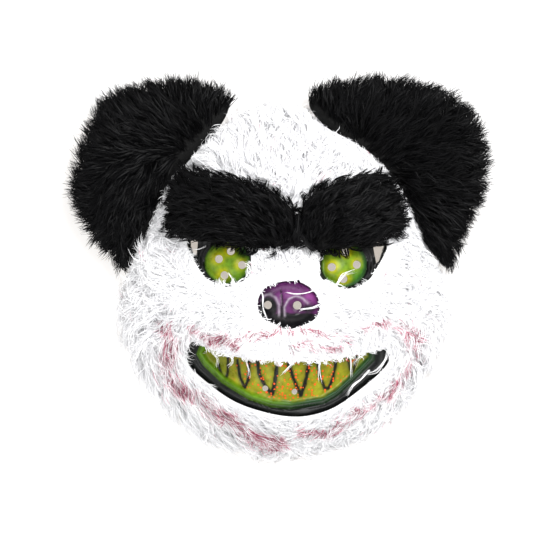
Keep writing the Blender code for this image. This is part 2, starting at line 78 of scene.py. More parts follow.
FACE_WIDTHS = [
    # station        y     half_width
    ("crown",      108.0,   0.0),
    ("high_brow",   93.0,  52.0),
    ("ear_root",    61.0,  84.0),
    ("temple",      30.0,  98.0),
    ("eye_line",     0.0, 104.0),
    ("cheek",      -40.0, 106.0),
    ("jaw",        -74.0,  92.0),
    ("low_jaw",   -103.0,  66.0),
    ("under_lip", -119.0,  34.0),
    ("chin",      -125.5,   0.0),
]
LEFT_EYE_OPENING = [
    # point            x       y
    ("brow_side",    -58.0,  26.0),
    ("brow_middle",  -42.0,  24.0),
    ("inner_top",    -25.0,  17.0),
    ("inner",        -20.0,   6.0),
    ("inner_low",    -22.3,  -7.6),
    ("bottom",       -36.5, -14.4),
    ("outer_low",    -50.5,  -8.8),
    ("outer",        -59.8,   3.8),
    ("outer_high",   -65.2,  18.5),
]
RIGHT_EYE_OPENING = [
    ("brow_side",     66.0,  22.0),
    ("brow_middle",   48.0,  20.0),
    ("inner_top",     31.0,  15.5),
    ("inner",         27.3,   5.0),
    ("inner_low",     29.2,  -9.0),
    ("bottom",        45.5, -15.8),
    ("outer_low",     60.3, -10.6),
    ("outer",         68.9,   1.2),
    ("outer_high",    75.5,  16.2),
]
NOSE_OPENING = [
    ("top",            7.0, -10.2),
    ("high_right",    19.0, -13.6),
    ("right",         26.6, -23.0),
    ("low_right",     24.4, -36.0),
    ("bottom",         7.0, -42.6),
    ("low_left",     -10.8, -36.6),
    ("left",         -15.6, -25.4),
    ("high_left",     -9.0, -14.2),
]
MOUTH_OPENING = [
    ("left_corner",  -62.5, -52.0),
    ("left_high",    -46.0, -58.0),
    ("top_left",     -24.0, -63.0),
    ("top",            8.0, -65.5),
    ("top_right",     40.0, -63.5),
    ("right_high",    60.0, -59.5),
    ("right_corner",  76.0, -57.5),
    ("right_lip",     75.2, -69.0),
    ("right_low",     57.0, -85.7),
    ("low_right",     34.0, -100.4),
    ("bottom",         8.0, -104.9),
    ("low_left",     -24.0, -97.8),
    ("left_low",     -46.0, -85.4),
    ("left_lip",     -66.4, -65.8),
]
LIP_EDGE = [
    # The lower edge of the mouth, corner to corner.
    ("left_corner",  -62.5, -52.5),
    ("left_lip",     -66.7, -62.3),
    ("left_turn",    -59.7, -73.2),
    ("left_low",     -44.5, -86.2),
    ("low_left",     -24.5, -97.2),
    ("bottom_left",   -7.2, -102.6),
    ("bottom",         8.0, -103.9),
    ("bottom_right",  32.8, -100.7),
    ("low_right",     43.9, -95.2),
    ("right_low",     55.4, -86.6),
    ("right_turn",    65.5, -77.8),
    ("right_lip",     74.6, -69.4),
    ("right_corner",  75.5, -58.5),
]
PUNCHED_HOLES = [
    # name                  x       y      radius
    ("left_eye_top",      -35.3,   12.2,   2.95),
    ("left_eye_outer",    -43.9,    6.5,   2.95),
    ("left_eye_inner",    -27.0,    2.2,   2.95),
    ("left_eye_bottom",   -39.9,   -5.3,   2.95),
    ("right_eye_top",      46.8,   11.8,   3.00),
    ("right_eye_inner",    36.9,    0.7,   3.00),
    ("right_eye_outer",    55.1,    2.4,   3.00),
    ("right_eye_bottom",   45.4,   -7.9,   3.00),
    ("nostril_left",       -8.9,  -26.4,   3.00),
    ("nostril_right",      12.2,  -26.6,   3.00),
    ("mouth_high_left",   -19.9,  -66.2,   2.10),
    ("mouth_high_mid",     -1.4,  -68.6,   2.10),
    ("mouth_low_left",    -10.6,  -86.2,   2.10),
    ("mouth_low_right",    10.4,  -88.6,   2.10),
]
LEFT_WINDOW = [
    ("top_outer",    -66.2,  22.5),
    ("top_inner",    -58.6,  22.5),
    ("low_inner",    -59.8,   9.0),
    ("low_outer",    -62.6,  10.6),
]
RIGHT_WINDOW = [
    ("top_inner",     66.2,  19.0),
    ("top_outer",     75.8,  18.2),
    ("low_outer",     71.2,   5.0),
    ("low_inner",     68.9,   3.3),
]
EYE_DOMES = [
    # opening        x      y     half_width  half_height
    ("left_eye",   -37.8,   3.9,   16.2,       14.9),
    ("right_eye",   45.9,   2.4,   16.2,       15.6),
]
EAR_LEFT = [
    ("tip_top",      -31.0, 121.0),
    ("top_inner",    -48.0, 131.0),
    ("top",          -70.0, 137.0),
    ("top_outer",    -96.0, 134.0),
    ("corner",      -122.0, 126.0),
    ("outer_high",  -138.0, 105.0),
    ("outer",       -147.5,  76.0),
    ("outer_low",   -150.0,  49.0),
    ("low",         -137.0,  24.0),
    ("low_tip",     -121.0,   5.0),
    ("tip",         -110.5,  -7.0),
    ("inner_low",   -102.0,   8.0),
    ("inner",        -84.0,  34.0),
    ("inner_high",   -70.0,  62.0),
    ("inner_top",    -46.0,  92.0),
]
EAR_RIGHT = [
    ("tip_top",       15.0, 121.0),
    ("top_inner",     30.0, 132.0),
    ("top",           58.0, 137.0),
    ("top_outer",     92.0, 136.0),
    ("corner",       124.0, 126.0),
    ("outer_high",   144.0, 107.0),
    ("outer",        150.0,  80.0),
    ("outer_low",    147.0,  50.0),
    ("low",          135.0,  26.0),
    ("low_tip",      127.0,   8.0),
    ("tip",          121.0,  -5.5),
    ("inner_low",    110.0,   6.0),
    ("inner",         88.0,  32.0),
    ("inner_high",    70.0,  60.0),
    ("inner_top",     36.0,  94.0),
]
# The seam where black pile meets white, top to bottom.
SEAM_LEFT = [
    ("top",          -32.0, 122.0),
    ("high",         -50.4, 103.0),
    ("upper",        -67.7,  86.4),
    ("middle",       -82.1,  66.2),
    ("lower",        -90.4,  42.5),
    ("low",         -100.0,  30.2),
    ("turn",        -108.4,  13.7),
    ("tip",         -110.9,  -6.5),
]
SEAM_RIGHT = [
    ("top",           16.0, 122.0),
    ("high",          33.3, 108.0),
    ("upper",         56.0,  90.0),
    ("middle",        76.3,  72.1),
    ("lower",         87.6,  50.7),
    ("low",           96.0,  33.0),
    ("turn",         109.7,  14.8),
    ("tip",          122.3,  -4.2),
]
BROW_LEFT = [
    ("outer_top",    -76.5,  69.0),
    ("top_outer",    -55.0,  68.0),
    ("top",          -38.0,  65.0),
    ("top_inner",    -16.0,  58.8),
    ("inner_high",     2.0,  50.0),
    ("inner",         11.2,  39.0),
    ("inner_low",     12.0,  25.0),
    ("low_inner",      1.0,  14.6),
    ("low",          -20.0,  13.0),
    ("low_outer",    -45.0,  19.0),
    ("outer_low",    -79.0,  25.5),
    ("outer",        -80.0,  47.0),
]
BROW_RIGHT = [
    ("outer_top",     77.0,  66.0),
    ("top_outer",     58.0,  66.0),
    ("top",           40.0,  62.0),
    ("top_inner",     25.0,  56.0),
    ("inner_high",    16.5,  46.5),
    ("inner",         13.7,  36.0),
    ("inner_low",     14.0,  22.5),
    ("low_inner",     23.0,  12.6),
    ("low",           44.0,  13.0),
    ("low_outer",     68.0,  18.5),
    ("outer_low",     89.0,  29.0),
    ("outer",         87.0,  48.0),
]

# Black outlines of the drawn teeth.
TOOTH_LINES = [
    # name    width  points of the stroke
    ("one",    1.5, [(-44.2, -69.0), (-42.4, -76.0), (-39.4, -79.9), (-37.6, -76.0), (-37.2, -64.0)]),
    ("two",    1.8, [(-30.6, -66.0), (-28.9, -77.5), (-25.2, -85.6), (-22.8, -80.0), (-22.0, -66.0)]),
    ("three",  2.3, [(-16.9, -63.0), (-14.6, -77.0), (-10.2, -85.5), (-5.6, -90.2), (-3.8, -82.0), (-1.6, -66.0)]),
    ("four",   2.2, [(5.6, -66.0), (9.0, -77.5), (14.8, -91.2), (18.0, -82.0), (21.2, -66.0)]),
    ("five",   1.8, [(26.1, -64.0), (28.4, -76.3), (31.8, -86.0), (34.6, -86.2), (38.0, -79.0), (40.3, -65.0)]),
    ("six",    1.3, [(48.2, -64.0), (50.4, -73.0), (52.0, -75.5), (53.6, -70.0), (54.7, -61.0)]),
]
# Raised beads round the nostrils, which the paint also marks with a highlight line.
NOSTRIL_RIMS = [
    ("left",   [(-13.4, -23.0), (-11.0, -19.4), (-7.2, -18.6), (-3.4, -21.0), (-1.0, -26.2), (-0.8, -34.0)]),
    ("right",  [(3.3, -34.2), (2.9, -27.9), (6.2, -22.1), (11.2, -20.0), (16.1, -21.6), (19.5, -25.0)]),
]
# Where the dye lies in the white pile.
DYE_STREAKS = [
    # name           width  strength  points along the streak
    ("cheek_left",    3.6,  1.00, [(-63.4, -44.6), (-56.9, -46.8), (-47.5, -54.7), (-43.2, -50.4), (-34.6, -53.3), (-31.7, -57.5)]),
    ("muzzle",        3.6,  0.66, [(-31.0, -51.1), (-13.0, -46.8), (7.2, -44.6), (28.8, -46.8), (50.4, -51.1)]),
    ("lip_right",     2.6,  1.00, [(8.6, -56.9), (20.2, -54.0), (24.3, -58.0), (42.5, -57.6)]),
    ("cheek_right",   3.0,  0.95, [(61.2, -43.9), (77.0, -38.9), (85.7, -43.9), (92.0, -49.0)]),
    ("jaw_left",      6.4,  0.90, [(-81.4, -44.0), (-79.2, -56.9), (-81.4, -74.2), (-72.0, -89.3), (-58.3, -95.8), (-45.4, -105.8)]),
    ("chin_left",     6.0,  0.95, [(-45.4, -105.8), (-33.8, -110.2), (-21.6, -121.7), (-0.7, -128.0)]),
    ("chin_right",    4.0,  0.60, [(14.4, -118.8), (35.3, -121.7), (47.5, -108.0)]),
    ("jaw_right",     4.6,  0.75, [(50.4, -107.3), (68.4, -97.9), (79.2, -91.4), (86.4, -82.8)]),
    ("side_right",    4.4,  0.60, [(86.4, -82.8), (98.6, -64.8), (98.6, -46.8), (90.0, -42.0)]),
]

# Lie of the white pile: heading in degrees from +X, length, curl.
LIE_WHITE = [
    # place              x       y     heading  length  curl
    ("crown",            -5.0, 104.0,   92.0,   17.0,  0.50),
    ("forehead",         -8.0,  78.0,   95.0,   16.0,  0.55),
    ("forehead_left",   -48.0,  86.0,  118.0,   15.0,  0.50),
    ("forehead_right",   38.0,  86.0,   66.0,   15.0,  0.50),
    ("temple_left",     -86.0,  40.0,  170.0,   12.0,  0.60),
    ("temple_right",     92.0,  34.0,   10.0,   12.0,  0.50),
    ("bridge",            4.0,   4.0,   88.0,   17.0,  0.45),
    ("bridge_left",     -12.0,   4.0,  118.0,   15.0,  0.60),
    ("bridge_right",     19.0,   4.0,   66.0,   15.0,  0.60),
    ("nose_left",       -24.0, -24.0,  196.0,   17.0,  0.90),
    ("nose_right",       36.0, -28.0,  -14.0,   17.0,  0.80),
    ("under_eye_left",  -52.0, -24.0,  188.0,   21.0,  1.30),
    ("under_eye_right",  62.0, -28.0,  -22.0,   20.0,  0.90),
    ("cheek_left",      -84.0, -22.0,  184.0,   25.0,  1.50),
    ("cheek_low_left",  -82.0, -62.0,  264.0,   25.0,  0.55),
    ("edge_left",      -104.0, -42.0,  240.0,   27.0,  0.70),
    ("edge_low_left",   -92.0, -92.0,  243.0,   26.0,  0.60),
    ("jaw_left",        -62.0, -90.0,  302.0,   24.0,  0.45),
    ("chin_left",       -40.0, -110.0, 312.0,   24.0,  0.35),
    ("chin",              4.0, -122.0, 275.0,   22.0,  0.50),
    ("chin_right",       46.0, -116.0, 283.0,   23.0,  0.60),
    ("jaw_right",        72.0, -92.0,  300.0,   24.0,  0.60),
    ("edge_low_right",   96.0, -78.0,  305.0,   25.0,  0.60),
    ("cheek_right",      90.0, -44.0,  318.0,   23.0,  0.70),
    ("edge_right",      112.0, -20.0,  345.0,   25.0,  0.80),
    ("muzzle_left",     -34.0, -46.0,  200.0,   18.0,  0.80),
    ("muzzle_half_left", -14.0, -49.0,  190.0,   17.0,  0.45),
    ("muzzle",           12.0, -50.0,  350.0,   17.0,  0.45),
    ("muzzle_right",     42.0, -48.0,  338.0,   18.0,  0.80),
    ("lip_left",        -40.0, -58.0,  236.0,   13.0,  0.70),
    ("lip",               6.0, -64.0,  268.0,   11.0,  0.70),
    ("lip_right",        48.0, -59.0,  300.0,   13.0,  0.70),
]
LIE_EAR_LEFT = [
    ("top_inner",       -50.0, 122.0,   72.0,   25.0,  0.25),
    ("top",             -75.0, 128.0,   97.0,   25.0,  0.25),
    ("top_outer",      -100.0, 122.0,  112.0,   26.0,  0.25),
    ("corner",         -125.0, 112.0,  132.0,   26.0,  0.30),
    ("outer_high",     -140.0,  88.0,  150.0,   25.0,  0.35),
    ("outer",          -145.0,  60.0,  160.0,   24.0,  0.40),
    ("outer_low",      -142.0,  40.0,  178.0,   23.0,  0.45),
    ("low",            -130.0,  16.0,  215.0,   22.0,  0.40),
    ("tip",            -112.0,   4.0,  262.0,   20.0,  0.40),
    ("low_middle",     -106.0,  34.0,  262.0,   24.0,  0.25),
    ("middle",         -112.0,  64.0,  232.0,   25.0,  0.30),
    ("seam",            -90.0,  72.0,  238.0,   23.0,  0.30),
    ("seam_high",       -76.0,  96.0,  140.0,   23.0,  0.30),
    ("high",           -100.0,  98.0,  150.0,   25.0,  0.30),
]
LIE_EAR_RIGHT = [
    ("top_inner",        32.0, 122.0,   88.0,   25.0,  0.25),
    ("top",              60.0, 128.0,   80.0,   25.0,  0.25),
    ("top_outer",        92.0, 124.0,   62.0,   25.0,  0.30),
    ("corner",          120.0, 114.0,   45.0,   26.0,  0.35),
    ("outer_high",      138.0,  94.0,   24.0,   26.0,  0.35),
    ("outer",           143.0,  72.0,    8.0,   25.0,  0.40),
    ("outer_low",       141.0,  48.0,  -12.0,   24.0,  0.40),
    ("low",             132.0,  26.0,  -38.0,   23.0,  0.40),
    ("tip",             122.0,   6.0,  -70.0,   20.0,  0.40),
    ("low_middle",      108.0,  34.0,  -40.0,   24.0,  0.30),
    ("middle",          104.0,  64.0,    2.0,   25.0,  0.30),
    ("high",             78.0,  98.0,   52.0,   25.0,  0.30),
    ("seam",             90.0,  60.0,  -15.0,   24.0,  0.30),
]
LIE_BROW_LEFT = [
    ("inner_high",        0.0,  46.0,  140.0,   16.0,  0.20),
    ("inner",             9.0,  34.0,  118.0,   15.0,  0.15),
    ("inner_low",         8.0,  22.0,  104.0,   15.0,  0.20),
    ("top_inner",       -22.0,  54.0,  146.0,   18.0,  0.25),
    ("top",             -48.0,  62.0,  134.0,   20.0,  0.30),
    ("top_outer",       -72.0,  62.0,  132.0,   20.0,  0.35),
    ("middle",          -30.0,  38.0,  160.0,   21.0,  0.25),
    ("outer",           -70.0,  44.0,  178.0,   20.0,  0.30),
    ("outer_low",       -66.0,  28.0,  200.0,   20.0,  0.30),
    ("low",             -30.0,  20.0,  178.0,   19.0,  0.20),
]
LIE_BROW_RIGHT = [
    ("inner_high",       20.0,  46.0,   58.0,   15.0,  0.20),
    ("inner_low",        18.0,  24.0,   66.0,   15.0,  0.20),
    ("top",              44.0,  56.0,   34.0,   18.0,  0.25),
    ("top_outer",        70.0,  60.0,   30.0,   17.0,  0.30),
    ("middle",           48.0,  36.0,   30.0,   20.0,  0.20),
    ("outer",            82.0,  44.0,   12.0,   14.0,  0.25),
    ("low",              50.0,  20.0,   16.0,   18.0,  0.20),
    ("outer_low",        80.0,  28.0,    4.0,   15.0,  0.30),
]
# Single locks that cross an opening, as (x, y) along the lock.
LOCKS = [
    # name           strands  spread  points
    ("left_eye_a",     4,  0.5, [(-37.6, -3.9), (-34.8, -6.6), (-31.8, -11.0), (-30.4, -16.0)]),
    ("left_eye_b",     5,  0.8, [(-44.2, -22.0), (-43.4, -15.2), (-38.6, -11.9), (-31.6, -12.6), (-27.0, -8.0)]),
    ("left_eye_c",     5,  0.9, [(-20.0, -9.0), (-26.0, -7.2), (-30.5, -11.0), (-31.0, -16.5)]),
    ("left_eye_d",     3,  0.5, [(-62.0, 13.0), (-57.5, 13.6), (-52.5, 15.5)]),
    ("right_eye_a",    6,  1.4, [(38.0, -17.0), (41.5, -10.5), (46.4, -4.0), (54.6, -1.0)]),
    ("right_eye_b",    5,  0.8, [(28.0, -16.0), (31.0, -9.5), (38.0, -11.0), (43.0, -16.0)]),
    ("right_eye_c",    4,  0.7, [(66.0, -14.0), (63.0, -9.8), (58.6, -8.0)]),
    ("nose_top",       4,  0.6, [(27.5, -14.0), (20.0, -17.4), (11.5, -18.4), (3.2, -17.0)]),
    ("nose_right",     5,  0.7, [(28.5, -26.0), (22.6, -28.4), (17.0, -29.2), (13.2, -29.8)]),
    ("nose_left",      4,  0.9, [(-15.0, -13.0), (-12.2, -20.0), (-12.0, -28.0), (-9.4, -35.0), (-7.5, -41.0)]),
    ("nose_low",       6,  0.9, [(-14.0, -36.0), (-8.0, -39.6), (-1.0, -42.0)]),
    ("teeth_a",        5,  0.9, [(-50.0, -54.0), (-49.0, -60.0), (-45.0, -65.5), (-46.0, -71.0)]),
    ("teeth_b",        6,  1.1, [(-40.0, -55.0), (-36.0, -61.0), (-33.5, -66.5), (-37.0, -70.5)]),
    ("teeth_c",        5,  0.7, [(-26.0, -58.0), (-24.4, -66.0), (-22.0, -73.0), (-21.6, -78.6)]),
    ("teeth_d",        5,  0.9, [(20.0, -60.0), (11.0, -66.5), (4.6, -73.0), (1.6, -76.4)]),
    ("teeth_e",        5,  0.8, [(34.0, -60.0), (28.5, -68.0), (28.2, -76.0), (29.4, -83.0)]),
    ("teeth_f",        5,  0.8, [(46.0, -58.0), (50.2, -64.0), (50.8, -71.0), (51.4, -78.0)]),
    ("teeth_g",        6,  1.2, [(62.0, -54.0), (60.0, -62.0), (55.0, -66.0), (52.0, -71.0)]),
    ("lip_right_a",    6,  0.9, [(64.0, -73.5), (58.0, -80.0), (52.0, -85.0), (47.5, -92.5)]),
    ("lip_right_b",    6,  1.2, [(78.0, -58.0), (75.5, -66.0), (69.0, -74.0), (60.0, -76.0)]),
]

# Black locks that close the join of the two brows.
BROW_LOCKS = [
    ("join",        60, 1.3, [(11.5, 15.5), (12.6, 22.0), (13.0, 30.0), (13.4, 39.0)]),
    ("join_left",   46, 1.8, [(12.5, 28.0), (9.5, 22.0), (5.5, 17.0), (0.0, 13.8)]),
    ("join_right",  46, 1.8, [(14.0, 28.0), (17.0, 21.0), (20.0, 16.5), (25.0, 13.0)]),
    ("join_middle", 40, 2.0, [(10.0, 17.0), (13.0, 19.0), (17.0, 17.0)]),
]


# ------------------------------------------------------------- plan geometry
def smoothstep(x):
    x = np.clip(x, 0.0, 1.0)
    return x * x * (3.0 - 2.0 * x)


def closed_curve(table, per_span=6):
    pts = np.array([(row[1], row[2]) for row in table], float)
    out = []
    n = len(pts)
    for i in range(n):
        p0, p1, p2, p3 = (pts[(i + k - 1) % n] for k in range(4))
        for j in range(per_span):
            t = j / per_span
            out.append(0.5 * (2 * p1 + (p2 - p0) * t
                              + (2 * p0 - 5 * p1 + 4 * p2 - p3) * t * t
                              + (3 * p1 - p0 - 3 * p2 + p3) * t ** 3))
    return np.array(out)


def face_outline():
    left = [(name, FACE_CENTRE[0] - w, y) for name, y, w in FACE_WIDTHS]
    right = [(name, FACE_CENTRE[0] + w, y) for name, y, w in FACE_WIDTHS[1:-1]]
    return closed_curve(left + right[::-1], per_span=12)


OUTLINE = face_outline()
_rel = OUTLINE - np.array(FACE_CENTRE)
_ang = np.arctan2(_rel[:, 1], _rel[:, 0])
_rad = np.hypot(_rel[:, 0], _rel[:, 1])
_order = np.argsort(_ang)
_ang, _rad = _ang[_order], _rad[_order]
_ang = np.concatenate([_ang - 2 * np.pi, _ang, _ang + 2 * np.pi])
_rad = np.tile(_rad, 3)


def outline_radius(angle):
    return np.interp(angle, _ang, _rad)


def rim_fraction(x, y):
    dx, dy = x - FACE_CENTRE[0], y - FACE_CENTRE[1]
    return np.hypot(dx, dy) / outline_radius(np.arctan2(dy, dx))


def mound(x, y, m):
    reach = ((x - m["x"]) / m["wide"]) ** 2 + ((y - m["y"]) / m["tall"]) ** 2
    return m["height"] * np.exp(-reach ** 1.3)


def face_height(x, y):
    rho = np.clip(rim_fraction(x, y), 0.0, 1.0)
    dome = (1.0 - rho ** DOME_SHAPE[0]) ** DOME_SHAPE[1]
    rise = mound(x, y, MUZZLE) + mound(x, y, BROW_RIDGE) + mound(x, y, CHIN)
    return RIM_Z + DOME_HEIGHT * dome + rise * smoothstep((1.0 - rho) * 5.0)


def chunks(function, x, y, size=40000):
    """Runs a plan function over many points without a large table in memory."""
    shape = np.shape(x)
    x, y = np.ravel(x), np.ravel(y)
    out = [function(x[i:i + size], y[i:i + size]) for i in range(0, len(x), size)]
    return np.concatenate(out).reshape(shape) if out else np.zeros(shape)


def polyline_distance(x, y, pts, closed=False):
    pts = np.asarray(pts, float)
    a = pts if closed else pts[:-1]
    b = np.roll(pts, -1, axis=0) if closed else pts[1:]

    def run(px, py):
        px, py = px[:, None], py[:, None]
        ex, ey = (b - a)[:, 0][None], (b - a)[:, 1][None]
        t = np.clip(((px - a[:, 0]) * ex + (py - a[:, 1]) * ey)
                    / (ex * ex + ey * ey + 1e-12), 0, 1)
        return np.hypot(px - a[:, 0] - t * ex, py - a[:, 1] - t * ey).min(axis=1)
    return chunks(run, x, y)


def signed_distance(x, y, poly):
    """Distance to a closed outline, negative inside it."""
    def run(px, py):
        px, py = px[:, None], py[:, None]
        ax, ay = poly[:, 0][None], poly[:, 1][None]
        bx, by = np.roll(poly[:, 0], -1)[None], np.roll(poly[:, 1], -1)[None]
        ex, ey = bx - ax, by - ay
        t = np.clip(((px - ax) * ex + (py - ay) * ey) / (ex * ex + ey * ey + 1e-12), 0, 1)
        dist = np.hypot(px - ax - t * ex, py - ay - t * ey).min(axis=1)
        cross = ((ay > py) != (by > py)) & (px < ex * (py - ay) / np.where(ey == 0, 1e-12, ey) + ax)
        return np.where(cross.sum(axis=1) % 2 == 1, -dist, dist)
    return chunks(run, x, y)


OPENINGS = {
    "left_eye": closed_curve(LEFT_EYE_OPENING),
    "right_eye": closed_curve(RIGHT_EYE_OPENING),
    "nose": closed_curve(NOSE_OPENING),
    "mouth": closed_curve(MOUTH_OPENING),
}
PLAN = {
    "ear_left": closed_curve(EAR_LEFT),
    "ear_right": closed_curve(EAR_RIGHT),
    "brow_left": closed_curve(BROW_LEFT),
    "brow_right": closed_curve(BROW_RIGHT),
}


def points_of(table):
    return np.array([(row[1], row[2]) for row in table], float)


def seen_ear(seam, side):
    """Everything in plan beyond an ear's seam."""
    line = points_of(seam)
    far = [(side * 170.0, line[-1][1] - 10), (side * 170.0, 160.0), (line[0][0], 160.0)]
    return np.vstack([line, far])


BEYOND_SEAM = {"left": seen_ear(SEAM_LEFT, -1.0), "right": seen_ear(SEAM_RIGHT, 1.0)}


def pile_depth(x, y):
    near = np.min([np.maximum(signed_distance(x, y, o), 0.0) for o in OPENINGS.values()], axis=0)
    free = smoothstep((near - 1.0) / PILE_RAMP)
    for key in ("ear_left", "ear_right"):
        free = free * smoothstep((signed_distance(x, y, PLAN[key]) + 2.0) / 12.0)
    for key in ("brow_left", "brow_right"):
        free = free * (0.25 + 0.75 * smoothstep((signed_distance(x, y, PLAN[key]) + 2.0) / 10.0))
    return PILE_TRIMMED + (PILE_FULL - PILE_TRIMMED) * free


def lip_band(x):
    """Width of the black lip: wide at the corners, narrow under the teeth."""
    return 2.7 + 3.6 * (np.abs(x - 5.0) / 70.0) ** 1.6 + 1.2 * smoothstep((x - 34.0) / 26.0)


def skin_relief(x, y):
    """Eye domes, nose, lip and teeth as the painted plastic shows them."""
    out = np.zeros(np.shape(x))
    flat = math.sqrt(1.0 - EYE_DOME_ROUNDNESS ** 2)
    for key, cx, cy, half_w, half_h in EYE_DOMES:
        inner = -signed_distance(x, y, OPENINGS[key])
        out += -EYE_SOCKET_DEPTH * smoothstep((inner - 1.0) / 4.0)
        d = np.hypot((x - cx) / half_w, (y - cy) / half_h)
        dc = np.clip(d, 0.0, 1.0)
        cap = (np.sqrt(1.0 - (EYE_DOME_ROUNDNESS * dc) ** 2) - flat) / (1.0 - flat)
        room = smoothstep(inner / 2.0)
        out += EYE_DOME_HEIGHT * cap * room
        out += 0.9 * np.exp(-((d - 1.075) / 0.035) ** 2) * room            # bead
        fold = 0.32 * np.sin(d * 46.0) * smoothstep((d - 1.13) / 0.05) * smoothstep((1.75 - d) / 0.1)
        out += fold * room
    inner = -signed_distance(x, y, OPENINGS["nose"])
    room = smoothstep(inner / 4.0)
    u = np.hypot((x - NOSE_CENTRE[0]) / NOSE_HALF[0], (y + 25.5) / NOSE_HALF[1])
    pad = NOSE_RISE * smoothstep((1.08 - u) / 0.55) * smoothstep(inner / 1.5)
    for hx in (-8.8, 11.6):
        pad -= NOSTRIL_DEPTH * np.exp(-(((x - hx) / 5.9) ** 2 + ((y + 28.2) / 6.7) ** 2) ** 1.5) * room
    for _, line in NOSTRIL_RIMS:
        pad += 0.8 * np.exp(-(polyline_distance(x, y, line) / 0.95) ** 2) * room
    pad -= 0.7 * np.exp(-((x - 1.3) / 0.8) ** 2) * smoothstep((-12.0 - y) / 3.0) * room
    out += pad
    inner = -signed_distance(x, y, OPENINGS["mouth"])
    low = polyline_distance(x, y, points_of(LIP_EDGE))
    band = lip_band(x)
    room = smoothstep((inner - 0.2) / 1.2)
    lip = 2.6 * np.exp(-((low - band * 0.45) / (band * 0.42)) ** 2)
    groove = -0.9 * np.exp(-((low - band - 0.3) / 0.7) ** 2)
    roll = 1.9 * np.exp(-((low - band - 3.0) / 2.1) ** 2)
    panel = -TOOTH_RECESS * smoothstep((low - band - 2.5) / 5.0)
    teeth = 0.0
    for _, width, line in TOOTH_LINES:
        teeth = teeth - 0.75 * np.exp(-(polyline_distance(x, y, line) / width) ** 2)
    teeth = teeth * smoothstep((low - band - 4.0) / 2.0)
    return out + (lip + groove + roll + panel + teeth) * room


# ------------------------------------------------------------------- painting
def srgb(r, g, b):
    c = np.array([r, g, b], float) / 255.0
    return np.where(c <= 0.04045, c / 12.92, ((c + 0.055) / 1.055) ** 2.4)


def over(colour, paint, amount):
    return colour * (1.0 - amount[..., None]) + paint * amount[..., None]


def wobble(x, y, scale, seed):
    """Smooth uneven values about 0, for sprayed edges."""
    rng = np.random.default_rng(seed)
    out = np.zeros(np.shape(x))
    for k in range(7):
        ang, phase = rng.uniform(0, 2 * np.pi, 2)
        f = (0.6 + 0.35 * k) / scale
        out += np.sin((x * np.cos(ang) + y * np.sin(ang)) * f * 2 * np.pi + phase) / (1 + 0.4 * k)
    return out / 3.0


